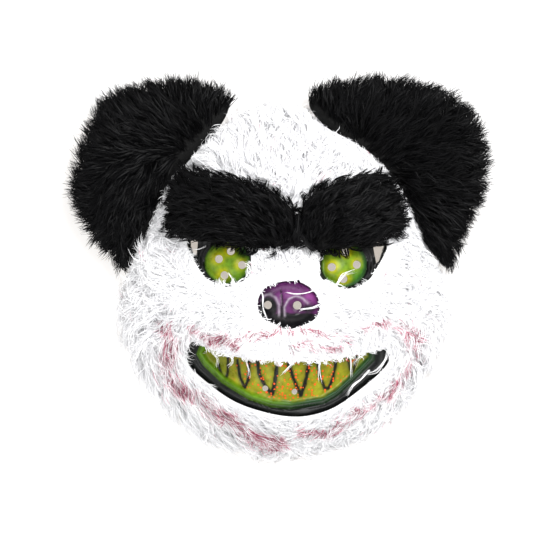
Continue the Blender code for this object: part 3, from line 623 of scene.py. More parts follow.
def skin_paint(x, y):
    """The sprayed colours, and how thickly the mouth is speckled."""
    black = srgb(15, 16, 16)
    colour = np.broadcast_to(black, x.shape + (3,)).copy()
    uneven = wobble(x, y, 9.0, 3)
    speck = np.zeros(x.shape)
    # Eyes.
    for key, cx, cy, half_w, half_h in EYE_DOMES:
        left = key == "left_eye"
        u, v = (x - cx) / half_w, (y - cy) / half_h
        d = np.hypot(u, v)
        green = np.broadcast_to(srgb(96, 128, 24), x.shape + (3,)).copy()
        green = over(green, srgb(108, 138, 34), smoothstep((0.1 - u + 0.4 * v) / 1.2))
        halo = np.zeros(x.shape)
        for name, hx, hy, r in PUNCHED_HOLES:
            if name.startswith(key):
                away = np.hypot(x - hx - (-1.0 if left else 0.6), y - hy - 0.4)
                halo = np.maximum(halo, np.exp(-(np.maximum(away - 2.2, 0) / 2.9) ** 2))
        green = over(green, srgb(156, 152, 12), np.clip(halo * (0.95 + 0.2 * uneven), 0, 1))
        if left:
            dark = smoothstep((u * 0.85 - v * 0.62 - 0.25 + 0.15 * uneven) / 0.75) * 0.75
            dark = np.maximum(dark, np.exp(-(((x + 26.0) / 4.5) ** 2 + ((y - 11.5) / 4.5) ** 2)))
            dark = np.maximum(dark, 0.62 * np.exp(-((u - 0.15) / 0.18) ** 2 - ((v - 0.05) / 0.35) ** 2))
            green = over(green, srgb(66, 104, 22), dark * 0.85)
            green = over(green, srgb(14, 26, 24), np.exp(
                -(((x + 25.5) / 4.3) ** 2 + ((y - 12.6) / 5.2) ** 2) ** 1.4))
        else:
            dark = smoothstep((u * 0.9 - v * 0.35 - 0.28 + 0.15 * uneven) / 0.6)
            green = over(green, srgb(58, 112, 34), dark * 0.92)
            green = over(green, srgb(30, 52, 52), smoothstep((d - 0.82) / 0.16) * smoothstep((u + 0.2) / 0.5))
        green = over(green, srgb(46, 84, 22), 0.75 * smoothstep((d - 0.86) / 0.13))
        colour = over(colour, green, smoothstep((1.02 - d) / 0.045))
        # Streaked grey surround outside the dome.
        streak = 0.5 + 0.5 * np.sin(d * 46.0 + 0.8 * uneven)
        shell = smoothstep((d - 1.03) / 0.04) * smoothstep((2.0 - d) / 0.3)
        colour = over(colour, srgb(66, 66, 68), 0.55 * shell * streak ** 3 * (np.abs(u) > 0.2))
    # Nose.
    inner = -signed_distance(x, y, OPENINGS["nose"])
    nose = np.broadcast_to(srgb(86, 40, 86), x.shape + (3,)).copy()
    # Painted shade: the nose darkens toward its left side, away from the light. Painted highlight: a lighter spot
    # at its upper right. A lighter band also runs along the top.
    nose = over(nose, srgb(62, 34, 64), smoothstep((-2.0 - x + 1.2 * uneven) / 8.0))
    nose = over(nose, srgb(122, 52, 118), np.exp(-((x - 21.5) / 4.0) ** 2 - ((y + 20.5) / 4.0) ** 2))
    nose = over(nose, srgb(118, 62, 116), 0.6 * np.exp(-((x - 9.0) / 7.0) ** 2 - ((y + 18.0) / 2.6) ** 2))
    dark = smoothstep((-30.5 - y + 1.2 * uneven) / 2.8)
    dark = np.maximum(dark, smoothstep((7.8 - np.hypot(x + 8.6, (y + 28.2) * 0.85)) / 2.2))
    dark = np.maximum(dark, np.exp(-((x - 1.3) / 1.7) ** 2) * smoothstep((-21.0 - y) / 9.0))
    dark = np.maximum(dark, 0.97 * np.exp(-(((x - 20.0) / 6.0) ** 2 + ((y + 29.0) / 3.4) ** 2) ** 1.6))
    dark = np.maximum(dark, 0.55 * smoothstep((5.6 - np.hypot(x - 12.2, y + 27.6)) / 2.4))
    dark = np.maximum(dark, 0.9 * smoothstep((polyline_distance(
        x, y, [(0.4, -15.5), (1.1, -19.5), (1.8, -25.0)]) * -1.0 + 0.9 + 0.4 * wobble(x, y, 1.6, 8)) / 0.6))
    nose = over(nose, srgb(22, 22, 24), np.clip(dark, 0, 1))
    # Painted highlight: a light grey line along each raised nostril rim.
    for _, line in NOSTRIL_RIMS:
        nose = over(nose, srgb(150, 140, 152), 0.75 * np.exp(-(polyline_distance(x, y, line) / 0.75) ** 2))
    colour = over(colour, nose, smoothstep((inner + 1.0) / 1.0))
    # Mouth.
    inner = -signed_distance(x, y, OPENINGS["mouth"])
    low = polyline_distance(x, y, points_of(LIP_EDGE))
    band = lip_band(x)
    right = smoothstep((x + 22.0) / 46.0)
    teeth = np.broadcast_to(srgb(128, 124, 22), x.shape + (3,)).copy()
    teeth = over(teeth, srgb(138, 140, 28), smoothstep(0.5 + 0.8 * wobble(x, y, 17.0, 5)))
    teeth = over(teeth, srgb(98, 114, 24), 0.8 * smoothstep((np.abs(x - 6.0) - 36.0) / 16.0))
    teeth = over(teeth, srgb(146, 96, 34), 0.7 * np.exp(-(((x + 57.0) / 5.5) ** 2 + ((y + 57.0) / 4.0) ** 2)))
    teeth = over(teeth, srgb(118, 116, 30), 0.55 * smoothstep((y + 71.0) / 7.0))
    green = srgb(84, 122, 16) * (1 - right[..., None]) + srgb(30, 62, 30) * right[..., None]
    teeth = over(teeth, green, smoothstep((band + 7.6 - low + 0.8 * uneven) / 3.6))
    dim = smoothstep((band + 4.6 - low) / 3.4) * (0.35 + 0.5 * right)
    teeth = over(teeth, srgb(26, 44, 24), dim)
    for _, width, line in TOOTH_LINES:
        reach = polyline_distance(x, y, line) + 0.25 * wobble(x, y, 5.0, 11)
        clear = smoothstep((low - band - 4.5) / 1.5)
        teeth = over(teeth, srgb(82, 84, 26), 0.6 * np.exp(-(reach / (width * 1.25)) ** 2) * clear)
        teeth = over(teeth, srgb(22, 24, 18), smoothstep((width * 0.62 + 0.35 - reach) / 0.7) * clear)
    teeth = over(teeth, srgb(20, 22, 21), smoothstep((band + 0.5 - low) / 0.9))
    colour = over(colour, teeth, smoothstep((inner + 1.0) / 1.0))
    speck = smoothstep((low - band - 5.5) / 2.5) * smoothstep((inner - 0.5) / 1.5) \
        * smoothstep((x + 40.0) / 22.0) * smoothstep((62.0 - x) / 12.0)
    return np.clip(colour, 0.0, 1.0), speck


# ------------------------------------------------------------ mesh utilities
def raw_mesh(name, verts, loops, starts, smooth=True):
    mesh = bpy.data.meshes.new(name)
    mesh.vertices.add(len(verts))
    mesh.vertices.foreach_set("co", (np.asarray(verts, np.float64) * MM).astype(np.float32).ravel())
    mesh.loops.add(len(loops))
    mesh.loops.foreach_set("vertex_index", np.asarray(loops, np.int32))
    mesh.polygons.add(len(starts))
    mesh.polygons.foreach_set("loop_start", np.asarray(starts, np.int32))
    if smooth:
        mesh.polygons.foreach_set("use_smooth", np.ones(len(starts), bool))
    mesh.update(calc_edges=True)
    mesh.validate()
    return mesh


def add_piece(name, mesh, material, nodes=()):
    obj = bpy.data.objects.new(name, mesh)
    bpy.context.scene.collection.objects.link(obj)
    mesh.materials.append(material)
    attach(obj, "root")
    if nodes:
        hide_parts(*nodes)
    return obj


def set_uv(mesh, name, uv):
    layer = mesh.uv_layers.new(name=name, do_init=False)
    layer.data.foreach_set("uv", np.asarray(uv, np.float32).ravel())


def faces_to_loops(faces):
    """Flat loop list and starts for a list of equal faces."""
    faces = np.asarray(faces)
    return faces.ravel(), np.arange(len(faces)) * faces.shape[1]


def grid_normals(pts, wrap=False):
    """Normals of a grid of points, from its two directions."""
    if wrap:
        da = np.roll(pts, -1, axis=0) - np.roll(pts, 1, axis=0)
    else:
        da = np.gradient(pts, axis=0)
    db = np.gradient(pts, axis=1)
    n = np.cross(db, da)
    n /= np.linalg.norm(n, axis=-1)[..., None] + 1e-12
    return n


def border_edges(faces):
    """Edges used by one face only, in that face's direction."""
    edges = {}
    for f in faces:
        for i in range(len(f)):
            a, b = f[i], f[(i + 1) % len(f)]
            if (b, a) in edges:
                del edges[(b, a)]
            else:
                edges[(a, b)] = True
    return list(edges)


def nearest_on_polygon(p, poly):
    a, b = poly, np.roll(poly, -1, axis=0)
    e = b - a
    t = np.clip(((p - a) * e).sum(1) / ((e * e).sum(1) + 1e-12), 0, 1)
    q = a + e * t[:, None]
    return q[np.argmin(((q - p) ** 2).sum(1))]


def open_up(faces, plan, cuts):
    """Drops the faces inside each cut, and draws the edge left onto its line."""
    mid = plan[faces].mean(axis=1)
    drop = np.zeros(len(faces), bool)
    for poly in cuts:
        lo, hi = poly.min(axis=0) - 1, poly.max(axis=0) + 1
        near = ((mid > lo) & (mid < hi)).all(axis=1) & ~drop
        idx = np.nonzero(near)[0]
        if not len(idx):
            continue
        gone = idx[signed_distance(mid[idx, 0], mid[idx, 1], poly) < 0]
        if not len(gone):
            continue
        drop[gone] = True
        inside = np.unique(faces[gone])
        kept_near = faces[idx[~np.isin(idx, gone)]]
        edge = np.intersect1d(inside, np.unique(kept_near))
        for v in edge:
            plan[v] = nearest_on_polygon(plan[v], poly)
    return faces[~drop], plan


def circle(x, y, r, n=40):
    turn = np.arange(n) * 2 * np.pi / n
    return np.stack([x + r * np.cos(turn), y + r * np.sin(turn)], axis=1)


# ---------------------------------------------------------------- the skin
def graded(count, dense_low, dense_high, sparse):
    s = np.linspace(-1, 1, 1601)
    density = sparse + (1 - sparse) * (smoothstep((s - dense_low + 0.08) / 0.16)
                                       * smoothstep((dense_high + 0.08 - s) / 0.16))
    total = np.concatenate([[0.0], np.cumsum((density[1:] + density[:-1]) / 2)])
    return np.interp(np.linspace(0, total[-1], count + 1), total, s)


def build_skin(material):
    cols = graded(192, -0.66, 0.71, 0.10)
    rows = graded(174, -0.90, 0.26, 0.10)
    s, t = np.meshgrid(cols, rows, indexing="ij")
    u = s * np.sqrt(1 - t * t / 2)
    v = t * np.sqrt(1 - s * s / 2)
    rho, ang = np.hypot(u, v), np.arctan2(v, u)
    rad = outline_radius(ang)
    x = FACE_CENTRE[0] + rho * rad * np.cos(ang)
    y = FACE_CENTRE[1] + rho * rad * np.sin(ang)
    n, m = x.shape
    edge = np.zeros(x.shape, bool)
    edge[0, :] = edge[-1, :] = edge[:, 0] = edge[:, -1] = True
    index = np.arange(n * m).reshape(n, m)
    faces = np.stack([index[:-1, :-1], index[1:, :-1], index[1:, 1:], index[:-1, 1:]],
                     axis=-1).reshape(-1, 4)
    plan = np.stack([x, y], axis=-1).reshape(-1, 2)
    cuts = [circle(hx, hy, r) for _, hx, hy, r in PUNCHED_HOLES]
    cuts += [points_of(LEFT_WINDOW), points_of(RIGHT_WINDOW)]
    faces, plan = open_up(faces, plan, cuts)
    z = face_height(plan[:, 0], plan[:, 1]) + skin_relief(plan[:, 0], plan[:, 1])
    z[edge.ravel()] = RIM_Z
    pts = np.column_stack([plan, z])
    normal = -grid_normals(pts.reshape(n, m, 3)).reshape(-1, 3)
    normal *= np.sign(normal[:, 2:3] + 1e-9)
    inner = pts - SKIN_WALL * normal
    inner[edge.ravel(), 2] = RIM_Z
    used = np.unique(faces)
    remap = np.full(len(pts), -1)
    remap[used] = np.arange(len(used))
    faces = remap[faces]
    pts, inner, plan = pts[used], inner[used], plan[used]
    k = len(pts)
    rim = np.array(border_edges(faces.tolist()))
    walls = np.stack([rim[:, 1], rim[:, 0], rim[:, 0] + k, rim[:, 1] + k], axis=1)
    every = np.vstack([faces, faces[:, ::-1] + k, walls])
    loops, starts = faces_to_loops(every)
    mesh = raw_mesh("face_skin", np.vstack([pts, inner]), loops, starts)
    mesh.set_sharp_from_angle(angle=1.0)
    colour, speck = skin_paint(plan[:, 0], plan[:, 1])
    bare = np.broadcast_to(srgb(206, 205, 200), colour.shape)
    attr = mesh.color_attributes.new("paint", "FLOAT_COLOR", "POINT")
    rgba = np.ones((2 * k, 4), np.float32)
    rgba[:k, :3] = colour
    rgba[k:, :3] = bare
    attr.data.foreach_set("color", rgba.ravel())
    mask = mesh.attributes.new("speck", "FLOAT", "POINT")
    mask.data.foreach_set("value", np.concatenate([speck, np.zeros(k)]).astype(np.float32))
    # Flat map: the front large, the back small, each wall in a cell of its own.
    span = 236.0
    flat = (plan + np.array([105.0, 128.0])) / span
    front = flat[faces] * 0.70 + 0.005
    back = flat[faces[:, ::-1]] * 0.26 + np.array([0.72, 0.005])
    side = int(math.ceil(math.sqrt(len(walls))))
    cell = 0.26 / side
    cx = (np.arange(len(walls)) % side) * cell + 0.72
    cy = (np.arange(len(walls)) // side) * cell + 0.30
    corner = np.array([(0.1, 0.1), (0.9, 0.1), (0.9, 0.9), (0.1, 0.9)]) * cell
    wall_uv = np.stack([cx, cy], axis=1)[:, None] + corner[None]
    set_uv(mesh, "OFBake", np.vstack([front.reshape(-1, 2), back.reshape(-1, 2),
                                      wall_uv.reshape(-1, 2)]))
    return add_piece("face_skin", mesh, material, ("face_shell",))


# ---------------------------------------------------------- the white cover
def head_grid(spokes, rings, inner_r=0.0):
    """The face surface as rings from the nose out to the rim."""
    turn = np.arange(spokes) * 2 * np.pi / spokes
    centre = np.array(NOSE_CENTRE)
    rel = OUTLINE - centre
    ang, rad = np.arctan2(rel[:, 1], rel[:, 0]), np.hypot(rel[:, 0], rel[:, 1])
    order = np.argsort(ang)
    r_out = np.interp((turn + np.pi) % (2 * np.pi) - np.pi, ang[order], rad[order],
                      period=2 * np.pi)
    q = np.linspace(0, 1, rings + 1)
    q = 0.40 * q + 0.60 * np.sin(q * np.pi / 2)
    r = inner_r + (r_out - inner_r)[:, None] * q[None]
    x = centre[0] + r * np.cos(turn)[:, None]
    y = centre[1] + r * np.sin(turn)[:, None]
    z = face_height(x, y)
    z[:, -1] = 0.0
    pts = np.stack([x, y, z], axis=-1)
    normal = grid_normals(pts, wrap=True)
    normal *= np.where(normal[..., 2:3] < 0, -1.0, 1.0)
    normal[:, -1, 2] = 0.0
    normal[:, -1] /= np.linalg.norm(normal[:, -1], axis=1)[:, None] + 1e-12
    return pts, normal


def ring_faces(n, m):
    index = np.arange(n * m).reshape(n, m)
    nxt = np.roll(index, -1, axis=0)
    return np.stack([index[:, :-1], index[:, 1:], nxt[:, 1:], nxt[:, :-1]], axis=-1).reshape(-1, 4)


def build_cover(material):
    pts, normal = head_grid(168, 46, inner_r=9.0)
    n, m = pts.shape[:2]
    faces = ring_faces(n, m)
    plan = pts[..., :2].reshape(-1, 2).copy()
    before = plan.copy()
    faces, plan = open_up(faces, plan, list(OPENINGS.values()))
    flat_pts, flat_n = pts.reshape(-1, 3).copy(), normal.reshape(-1, 3)
    moved = np.abs(plan - before).sum(axis=1) > 1e-9
    flat_pts[moved, :2] = plan[moved]
    flat_pts[moved, 2] = face_height(plan[moved, 0], plan[moved, 1])
    outer = flat_pts + flat_n * CLOTH_OUTER
    inner = flat_pts + flat_n * CLOTH_INNER
    rim = np.zeros((n, m), bool)
    rim[:, -1] = True
    outer[rim.ravel(), 2] = inner[rim.ravel(), 2] = 0.25
    used = np.unique(faces)
    remap = np.full(len(flat_pts), -1)
    remap[used] = np.arange(len(used))
    faces = remap[faces]
    outer, inner = outer[used], inner[used]
    k = len(outer)
    edges = np.array(border_edges(faces.tolist()))
    walls = np.stack([edges[:, 1], edges[:, 0], edges[:, 0] + k, edges[:, 1] + k], axis=1)
    every = np.vstack([faces, faces[:, ::-1] + k, walls])
    loops, starts = faces_to_loops(every)
    mesh = raw_mesh("cover_cloth", np.vstack([outer, inner]), loops, starts)
    a, b, c, d = (outer[faces[:, i]] for i in range(4))
    area = (np.linalg.norm(np.cross(b - a, c - a), axis=1)
            + np.linalg.norm(np.cross(c - a, d - a), axis=1)).sum() / 2 * MM * MM
    obj = add_piece("cover_cloth", mesh, material, ("plush_face",))
    return obj, area


# ------------------------------------------------------------------ the pile
class Surface:
    """A closed or open surface that pile grows from and lies along."""

    def __init__(self, pts, faces):
        self.pts, self.faces = pts, faces
        self.tree = BVHTree.FromPolygons([tuple(p) for p in pts], [tuple(f) for f in faces])

    def nearest(self, p):
        loc = np.zeros(p.shape)
        nrm = np.zeros(p.shape)
        for i, q in enumerate(p):
            a, b, _, _ = self.tree.find_nearest(q)
            loc[i] = a
            nrm[i] = b
        away = p - loc
        dist = np.linalg.norm(away, axis=1)
        sign = np.where((away * nrm).sum(1) < 0, -1.0, 1.0)
        far = (dist > 0.6) & (sign > 0)
        nrm[far] = away[far] / dist[far, None]
        return nrm, dist * sign

    def scatter(self, count, rng, keep):
        """Even random points on the surface for which keep() holds."""
        f = self.faces
        a, b, c = self.pts[f[:, 0]], self.pts[f[:, 1]], self.pts[f[:, 2]]
        if f.shape[1] == 4:
            d = self.pts[f[:, 3]]
            a, b, c = np.vstack([a, a]), np.vstack([b, c]), np.vstack([c, d])
        nrm = np.cross(b - a, c - a)
        area = np.linalg.norm(nrm, axis=1)
        nrm /= area[:, None] + 1e-12
        pick = rng.choice(len(a), size=count * 14, p=area / area.sum())
        r1, r2 = rng.random(len(pick)) ** 0.5, rng.random(len(pick))
        p = (a[pick] * (1 - r1)[:, None] + b[pick] * (r1 * (1 - r2))[:, None]
             + c[pick] * (r1 * r2)[:, None])
        n = nrm[pick]
        ok = keep(p, n)
        p, n = p[ok], n[ok]
        total = area.sum() / 2 * (ok.mean())
        gap = 0.72 * math.sqrt(total / max(count, 1))
        cells, chosen = {}, []
        for i, q in enumerate(p):
            key = (int(q[0] // gap), int(q[1] // gap), int(q[2] // gap))
            free = True
            for dx in (-1, 0, 1):
                for dy in (-1, 0, 1):
                    for dz in (-1, 0, 1):
                        for j in cells.get((key[0] + dx, key[1] + dy, key[2] + dz), ()):
                            e = p[j] - q
                            if e[0] * e[0] + e[1] * e[1] + e[2] * e[2] < gap * gap:
                                free = False
                                break
                        if not free:
                            break
                    if not free:
                        break
                if not free:
                    break
            if free:
                cells.setdefault(key, []).append(i)
                chosen.append(i)
                if len(chosen) >= count:
                    break
        return p[chosen], n[chosen]


def lie(table, x, y, soft=16.0):
    """Heading, length and curl at each place, blended from a table."""
    rows = np.array([r[1:] for r in table], float)
    d2 = (x[:, None] - rows[:, 0]) ** 2 + (y[:, None] - rows[:, 1]) ** 2
    w = 1.0 / (d2 + soft * soft) ** 2
    w /= w.sum(axis=1)[:, None]
    ang = np.radians(rows[:, 2])
    vx, vy = (w * np.cos(ang)).sum(1), (w * np.sin(ang)).sum(1)
    return np.arctan2(vy, vx), (w * rows[:, 3]).sum(1), (w * rows[:, 4]).sum(1)


def unit(v):
    return v / (np.linalg.norm(v, axis=-1)[..., None] + 1e-12)


def grow(surface, roots, normals, flow, length, rise, turn, wave, steps, hug, pull, rng, bump=None):
    """Grows guides over a surface, along the flow, up to a height above it."""
    n = len(roots)
    pts = np.zeros((n, steps + 1, 3))
    nrm = np.zeros((n, steps + 1, 3))
    pts[:, 0], nrm[:, 0] = roots, normals
    phase = rng.random(n)
    p, nn = roots.copy(), normals.copy()
    ds = length / steps
    last = np.zeros(n)
    for k in range(1, steps + 1):
        s = k / steps
        out = (flow * nn).sum(1)
        f = flow - nn * (out * np.where(out < 0, 1.0, hug))[:, None]
        f = unit(f)
        ang = turn * s ** 1.3 + wave * np.sin(2 * np.pi * (1.15 * s + phase))
        f = f * np.cos(ang)[:, None] + np.cross(nn, f) * np.sin(ang)[:, None]
        target = rise * (1.0 - (1.0 - s) ** 2.3)
        climb = np.abs(target - last)
        step = np.sqrt(np.maximum(ds ** 2 - climb ** 2, (0.35 * ds) ** 2))
        p = p + f * step[:, None]
        nn, d = surface.nearest(p)
        if bump is not None:
            target = np.maximum(target, bump(p))
        p = p + nn * np.maximum(target - d, -pull)[:, None]
        p[:, 2] = np.maximum(p[:, 2], 0.35 + 0.6 * rng.random(n))
        pts[:, k], nrm[:, k] = p, nn
        last = target
    return pts, nrm


def clump(guides, nrm, each, spread, gather, rng, fan=0.22, frizz=0.5, reach=(0.72, 1.12)):
    """Strands round each guide, drawn together towards its tip."""
    n, k, _ = guides.shape
    g = np.repeat(guides, each, axis=0)
    nn = np.repeat(nrm, each, axis=0)
    m = len(g)
    s = np.linspace(0, 1, k)
    ref = unit(np.cross(nn[:, 0], np.array([0.31, 0.95, 0.12])))
    ref2 = np.cross(nn[:, 0], ref)
    r = np.sqrt(rng.random(m)) * spread * rng.uniform(0.7, 1.3, m)
    a = rng.uniform(0, 2 * np.pi, m)
    off = ref * (r * np.cos(a))[:, None] + ref2 * (r * np.sin(a))[:, None]
    scale = rng.uniform(*reach, m)
    body = (g - g[:, :1]) * scale[:, None, None]
    # A small turn of each strand about the root's normal.
    turn = rng.normal(0, fan, m)
    c, sn = np.cos(turn)[:, None, None], np.sin(turn)[:, None, None]
    axis = nn[:, :1]
    body = body * c + np.cross(np.broadcast_to(axis, body.shape), body) * sn \
        + axis * (body * axis).sum(-1, keepdims=True) * (1 - c)
    keep = (1.0 - gather * s ** 0.8)[None, :, None]
    pts = g[:, :1] + off[:, None] * keep + body
    side = unit(np.cross(np.gradient(body, axis=1), nn))
    wob = rng.normal(0, frizz, (m, 1)) * np.sin(2 * np.pi * (s[None] * rng.uniform(0.5, 1.3, (m, 1))
                                                              + rng.random((m, 1)))) * s[None]
    pts = pts + side * wob[..., None]
    lift = rng.normal(0, frizz * 0.8, (m, 1)) * s[None]
    pts = pts + nn * np.abs(lift)[..., None] * 1.2
    pts[..., 2] = np.maximum(pts[..., 2], 0.2)
    return pts, nn


def ribbons(name, pts, nn, width, tone, along, material, rng, roll=0.8, nodes=()):
    """Flat tapering strands as one mesh, with a strand map for its colour."""
    m, k, _ = pts.shape
    tan = unit(np.gradient(pts, axis=1))
    side = unit(np.cross(tan, nn))
    up = np.cross(side, tan)
    phi = rng.normal(0, roll, (m, 1)) + rng.normal(0, 0.5, (m, 1)) * np.linspace(0, 1, k)[None]
    side = side * np.cos(phi)[..., None] + up * np.sin(phi)[..., None]
    s = np.linspace(0, 1, k)
    taper = 0.5 * (0.75 + 0.5 * np.sin(np.pi * np.minimum(s * 1.15, 1.0))) * (1 - 0.45 * s)
    half = width[:, None] * taper[None]
    a = pts - side * half[..., None]
    b = pts + side * half[..., None]
    per = 2 * (k - 1) + 1
    verts = np.zeros((m, per, 3))
    verts[:, 0:2 * (k - 1):2] = a[:, :-1]
    verts[:, 1:2 * (k - 1):2] = b[:, :-1]
    verts[:, -1] = pts[:, -1]
    verts[..., 2] = np.maximum(verts[..., 2], 0.05)
    quads = []
    for j in range(k - 2):
        quads += [2 * j, 2 * j + 1, 2 * j + 3, 2 * j + 2]
    quads += [2 * (k - 2), 2 * (k - 2) + 1, per - 1]
    shape = np.array(quads)
    loops = (shape[None] + (np.arange(m) * per)[:, None]).ravel()
    first = np.array([4 * j for j in range(k - 1)])
    starts = (first[None] + (np.arange(m) * len(shape))[:, None]).ravel()
    mesh = raw_mesh(name, verts.reshape(-1, 3), loops, starts)
    uv = np.zeros((m, per, 2))
    u0 = 0.03 + 0.94 * tone
    uv[:, 0:2 * (k - 1):2, 0] = (u0 - 0.012)[:, None]
    uv[:, 1:2 * (k - 1):2, 0] = (u0 + 0.012)[:, None]
    uv[:, -1, 0] = u0
    uv[:, 0:2 * (k - 1):2, 1] = along[:, :-1]
    uv[:, 1:2 * (k - 1):2, 1] = along[:, :-1]
    uv[:, -1, 1] = along[:, -1]
    per_loop = uv.reshape(-1, 2)[loops]
    set_uv(mesh, "strand", per_loop)
    set_uv(mesh, "OFBake", per_loop)
    return add_piece(name, mesh, material, nodes)


def triangles(m, k):
    return m * (2 * (k - 2) + 1)


# ---------------------------------------------------------- ears and brows
def pad_mesh(table, top_of, bottom_of, shrink, rings=9, per_span=8):
    outline = closed_curve(table, per_span=per_span)
    centre = outline.mean(axis=0)
    inward = centre - outline
    outline = outline + inward / np.linalg.norm(inward, axis=1)[:, None] * shrink
    n = len(outline)
    rows, low = [], []
    for k in range(1, rings + 1):
        f = math.sin(k / rings * math.pi / 2)
        ring = centre + (outline - centre) * f
        zt, zb = top_of(ring[:, 0], ring[:, 1], f), bottom_of(ring[:, 0], ring[:, 1], f)
        if k == rings:
            zt = zb = (zt + zb) / 2
        rows.append(np.column_stack([ring, zt]))
        low.append(np.column_stack([ring, zb]))
    c2 = np.array([centre[0]]), np.array([centre[1]])
    top_mid = np.array([[centre[0], centre[1], float(top_of(*c2, 0.0)[0])]])
    low_mid = np.array([[centre[0], centre[1], float(bottom_of(*c2, 0.0)[0])]])
    pts = np.vstack(rows + low[:-1] + [top_mid, low_mid])
    i = np.arange(n)
    j = (i + 1) % n
    quads = []
    for k in range(rings - 1):
        a, b = k * n, (k + 1) * n
        quads.append(np.stack([a + i, b + i, b + j, a + j], axis=1))
    off = rings * n
    for k in range(rings - 1):
        a = off + k * n
        b = off + (k + 1) * n if k < rings - 2 else (rings - 1) * n
        quads.append(np.stack([a + j, b + j, b + i, a + i], axis=1))
    quads = np.vstack(quads)
    tm, lm = len(pts) - 2, len(pts) - 1
    tris = np.vstack([np.stack([np.full(n, tm), i, j], axis=1),
                      np.stack([np.full(n, lm), off + j, off + i], axis=1)])
    a = pts[quads[0]]
    if np.cross(a[1] - a[0], a[2] - a[0])[2] < 0:
        quads, tris = quads[:, ::-1], tris[:, ::-1]
    tri_all = np.vstack([quads[:, [0, 1, 2]], quads[:, [0, 2, 3]], tris])
    return pts, tri_all


def seat_off_head(pts, head, gap):
    """Moves any point nearer the head than gap out to that distance."""
    nrm, d = head.nearest(pts)
    short = np.maximum(gap - d, 0.0)
    return pts + nrm * short[:, None]


# ----------------------------------------------------------------- materials
def new_material(name):
    mat = bpy.data.materials.new(name)
    mat.use_nodes = True
    nt = mat.node_tree
    return mat, nt, nt.nodes["Principled BSDF"]


def link(nt, a, b):
    nt.links.new(a, b)


def ramp_node(nt, stops):
    node = nt.nodes.new("ShaderNodeValToRGB")
    el = node.color_ramp.elements
    while len(el) > 1:
        el.remove(el[-1])
    el[0].position = stops[0][0]
    el[0].color = (*stops[0][1], 1.0)
    for pos, col in stops[1:]:
        e = el.new(pos)
        e.color = (*col, 1.0)
    return node


def math_node(nt, op, a, b=None, clamp=False):
    node = nt.nodes.new("ShaderNodeMath")
    node.operation = op
    node.use_clamp = clamp
    for i, v in enumerate((a, b)):
        if v is None:
            continue
        if isinstance(v, (int, float)):
            node.inputs[i].default_value = v
        else:
            link(nt, v, node.inputs[i])
    return node.outputs[0]


def mix_rgb(nt, kind, fac, a, b):
    node = nt.nodes.new("ShaderNodeMix")
    node.data_type = "RGBA"
    node.blend_type = kind
    for sock, v in ((node.inputs["Factor"], fac), (node.inputs["A"], a), (node.inputs["B"], b)):
        if isinstance(v, (int, float)):
            sock.default_value = v
        elif isinstance(v, tuple):
            sock.default_value = (*v, 1.0)
        else:
            link(nt, v, sock)
    return node.outputs["Result"]


def skin_material():
    mat, nt, bsdf = new_material("painted_plastic")
    paint = nt.nodes.new("ShaderNodeAttribute")
    paint.attribute_name = "paint"
    speck = nt.nodes.new("ShaderNodeAttribute")
    speck.attribute_name = "speck"
    coord = nt.nodes.new("ShaderNodeTexCoord").outputs["Object"]
    mist = nt.nodes.new("ShaderNodeTexNoise")
    mist.inputs["Scale"].default_value = 240.0
    mist.inputs["Detail"].default_value = 4.0
    link(nt, coord, mist.inputs["Vector"])
    shade = ramp_node(nt, [(0.30, (0.72, 0.72, 0.72)), (0.70, (1.22, 1.22, 1.22))])
    link(nt, mist.outputs["Fac"], shade.inputs["Fac"])
    colour = mix_rgb(nt, "MULTIPLY", 1.0, paint.outputs["Color"], shade.outputs["Color"])
    # Splashed specks on the teeth.
    cells = nt.nodes.new("ShaderNodeTexVoronoi")
    cells.inputs["Scale"].default_value = 520.0
    link(nt, coord, cells.inputs["Vector"])
    split = nt.nodes.new("ShaderNodeSeparateColor")
    link(nt, cells.outputs["Color"], split.inputs["Color"])
    size = math_node(nt, "MULTIPLY", split.outputs["Red"], 0.52)
    near = math_node(nt, "SUBTRACT", size, cells.outputs["Distance"])
    dot = math_node(nt, "MULTIPLY", near, 14.0, clamp=True)
    some = math_node(nt, "GREATER_THAN", split.outputs["Green"], 0.30)
    dot = math_node(nt, "MULTIPLY", dot, some)
    dot = math_node(nt, "MULTIPLY", dot, speck.outputs["Fac"], clamp=True)
    colour = mix_rgb(nt, "MIX", dot, colour, (0.72, 0.085, 0.012))
    link(nt, colour, bsdf.inputs["Base Color"])
    rough = ramp_node(nt, [(0.35, (0.26, 0.26, 0.26)), (0.75, (0.42, 0.42, 0.42))])
    link(nt, mist.outputs["Fac"], rough.inputs["Fac"])
    link(nt, rough.outputs["Color"], bsdf.inputs["Roughness"])
    fine = nt.nodes.new("ShaderNodeTexNoise")
    fine.inputs["Scale"].default_value = 900.0
    link(nt, coord, fine.inputs["Vector"])
    bump = nt.nodes.new("ShaderNodeBump")
    bump.inputs["Strength"].default_value = 0.10
    bump.inputs["Distance"].default_value = 0.0003
    link(nt, fine.outputs["Fac"], bump.inputs["Height"])
    link(nt, bump.outputs["Normal"], bsdf.inputs["Normal"])
    bsdf.inputs["Coat Weight"].default_value = 0.06
    bsdf.inputs["Specular IOR Level"].default_value = 0.14
    bsdf.inputs["Coat Roughness"].default_value = 0.14
    bsdf.inputs["IOR"].default_value = 1.5
    return mat


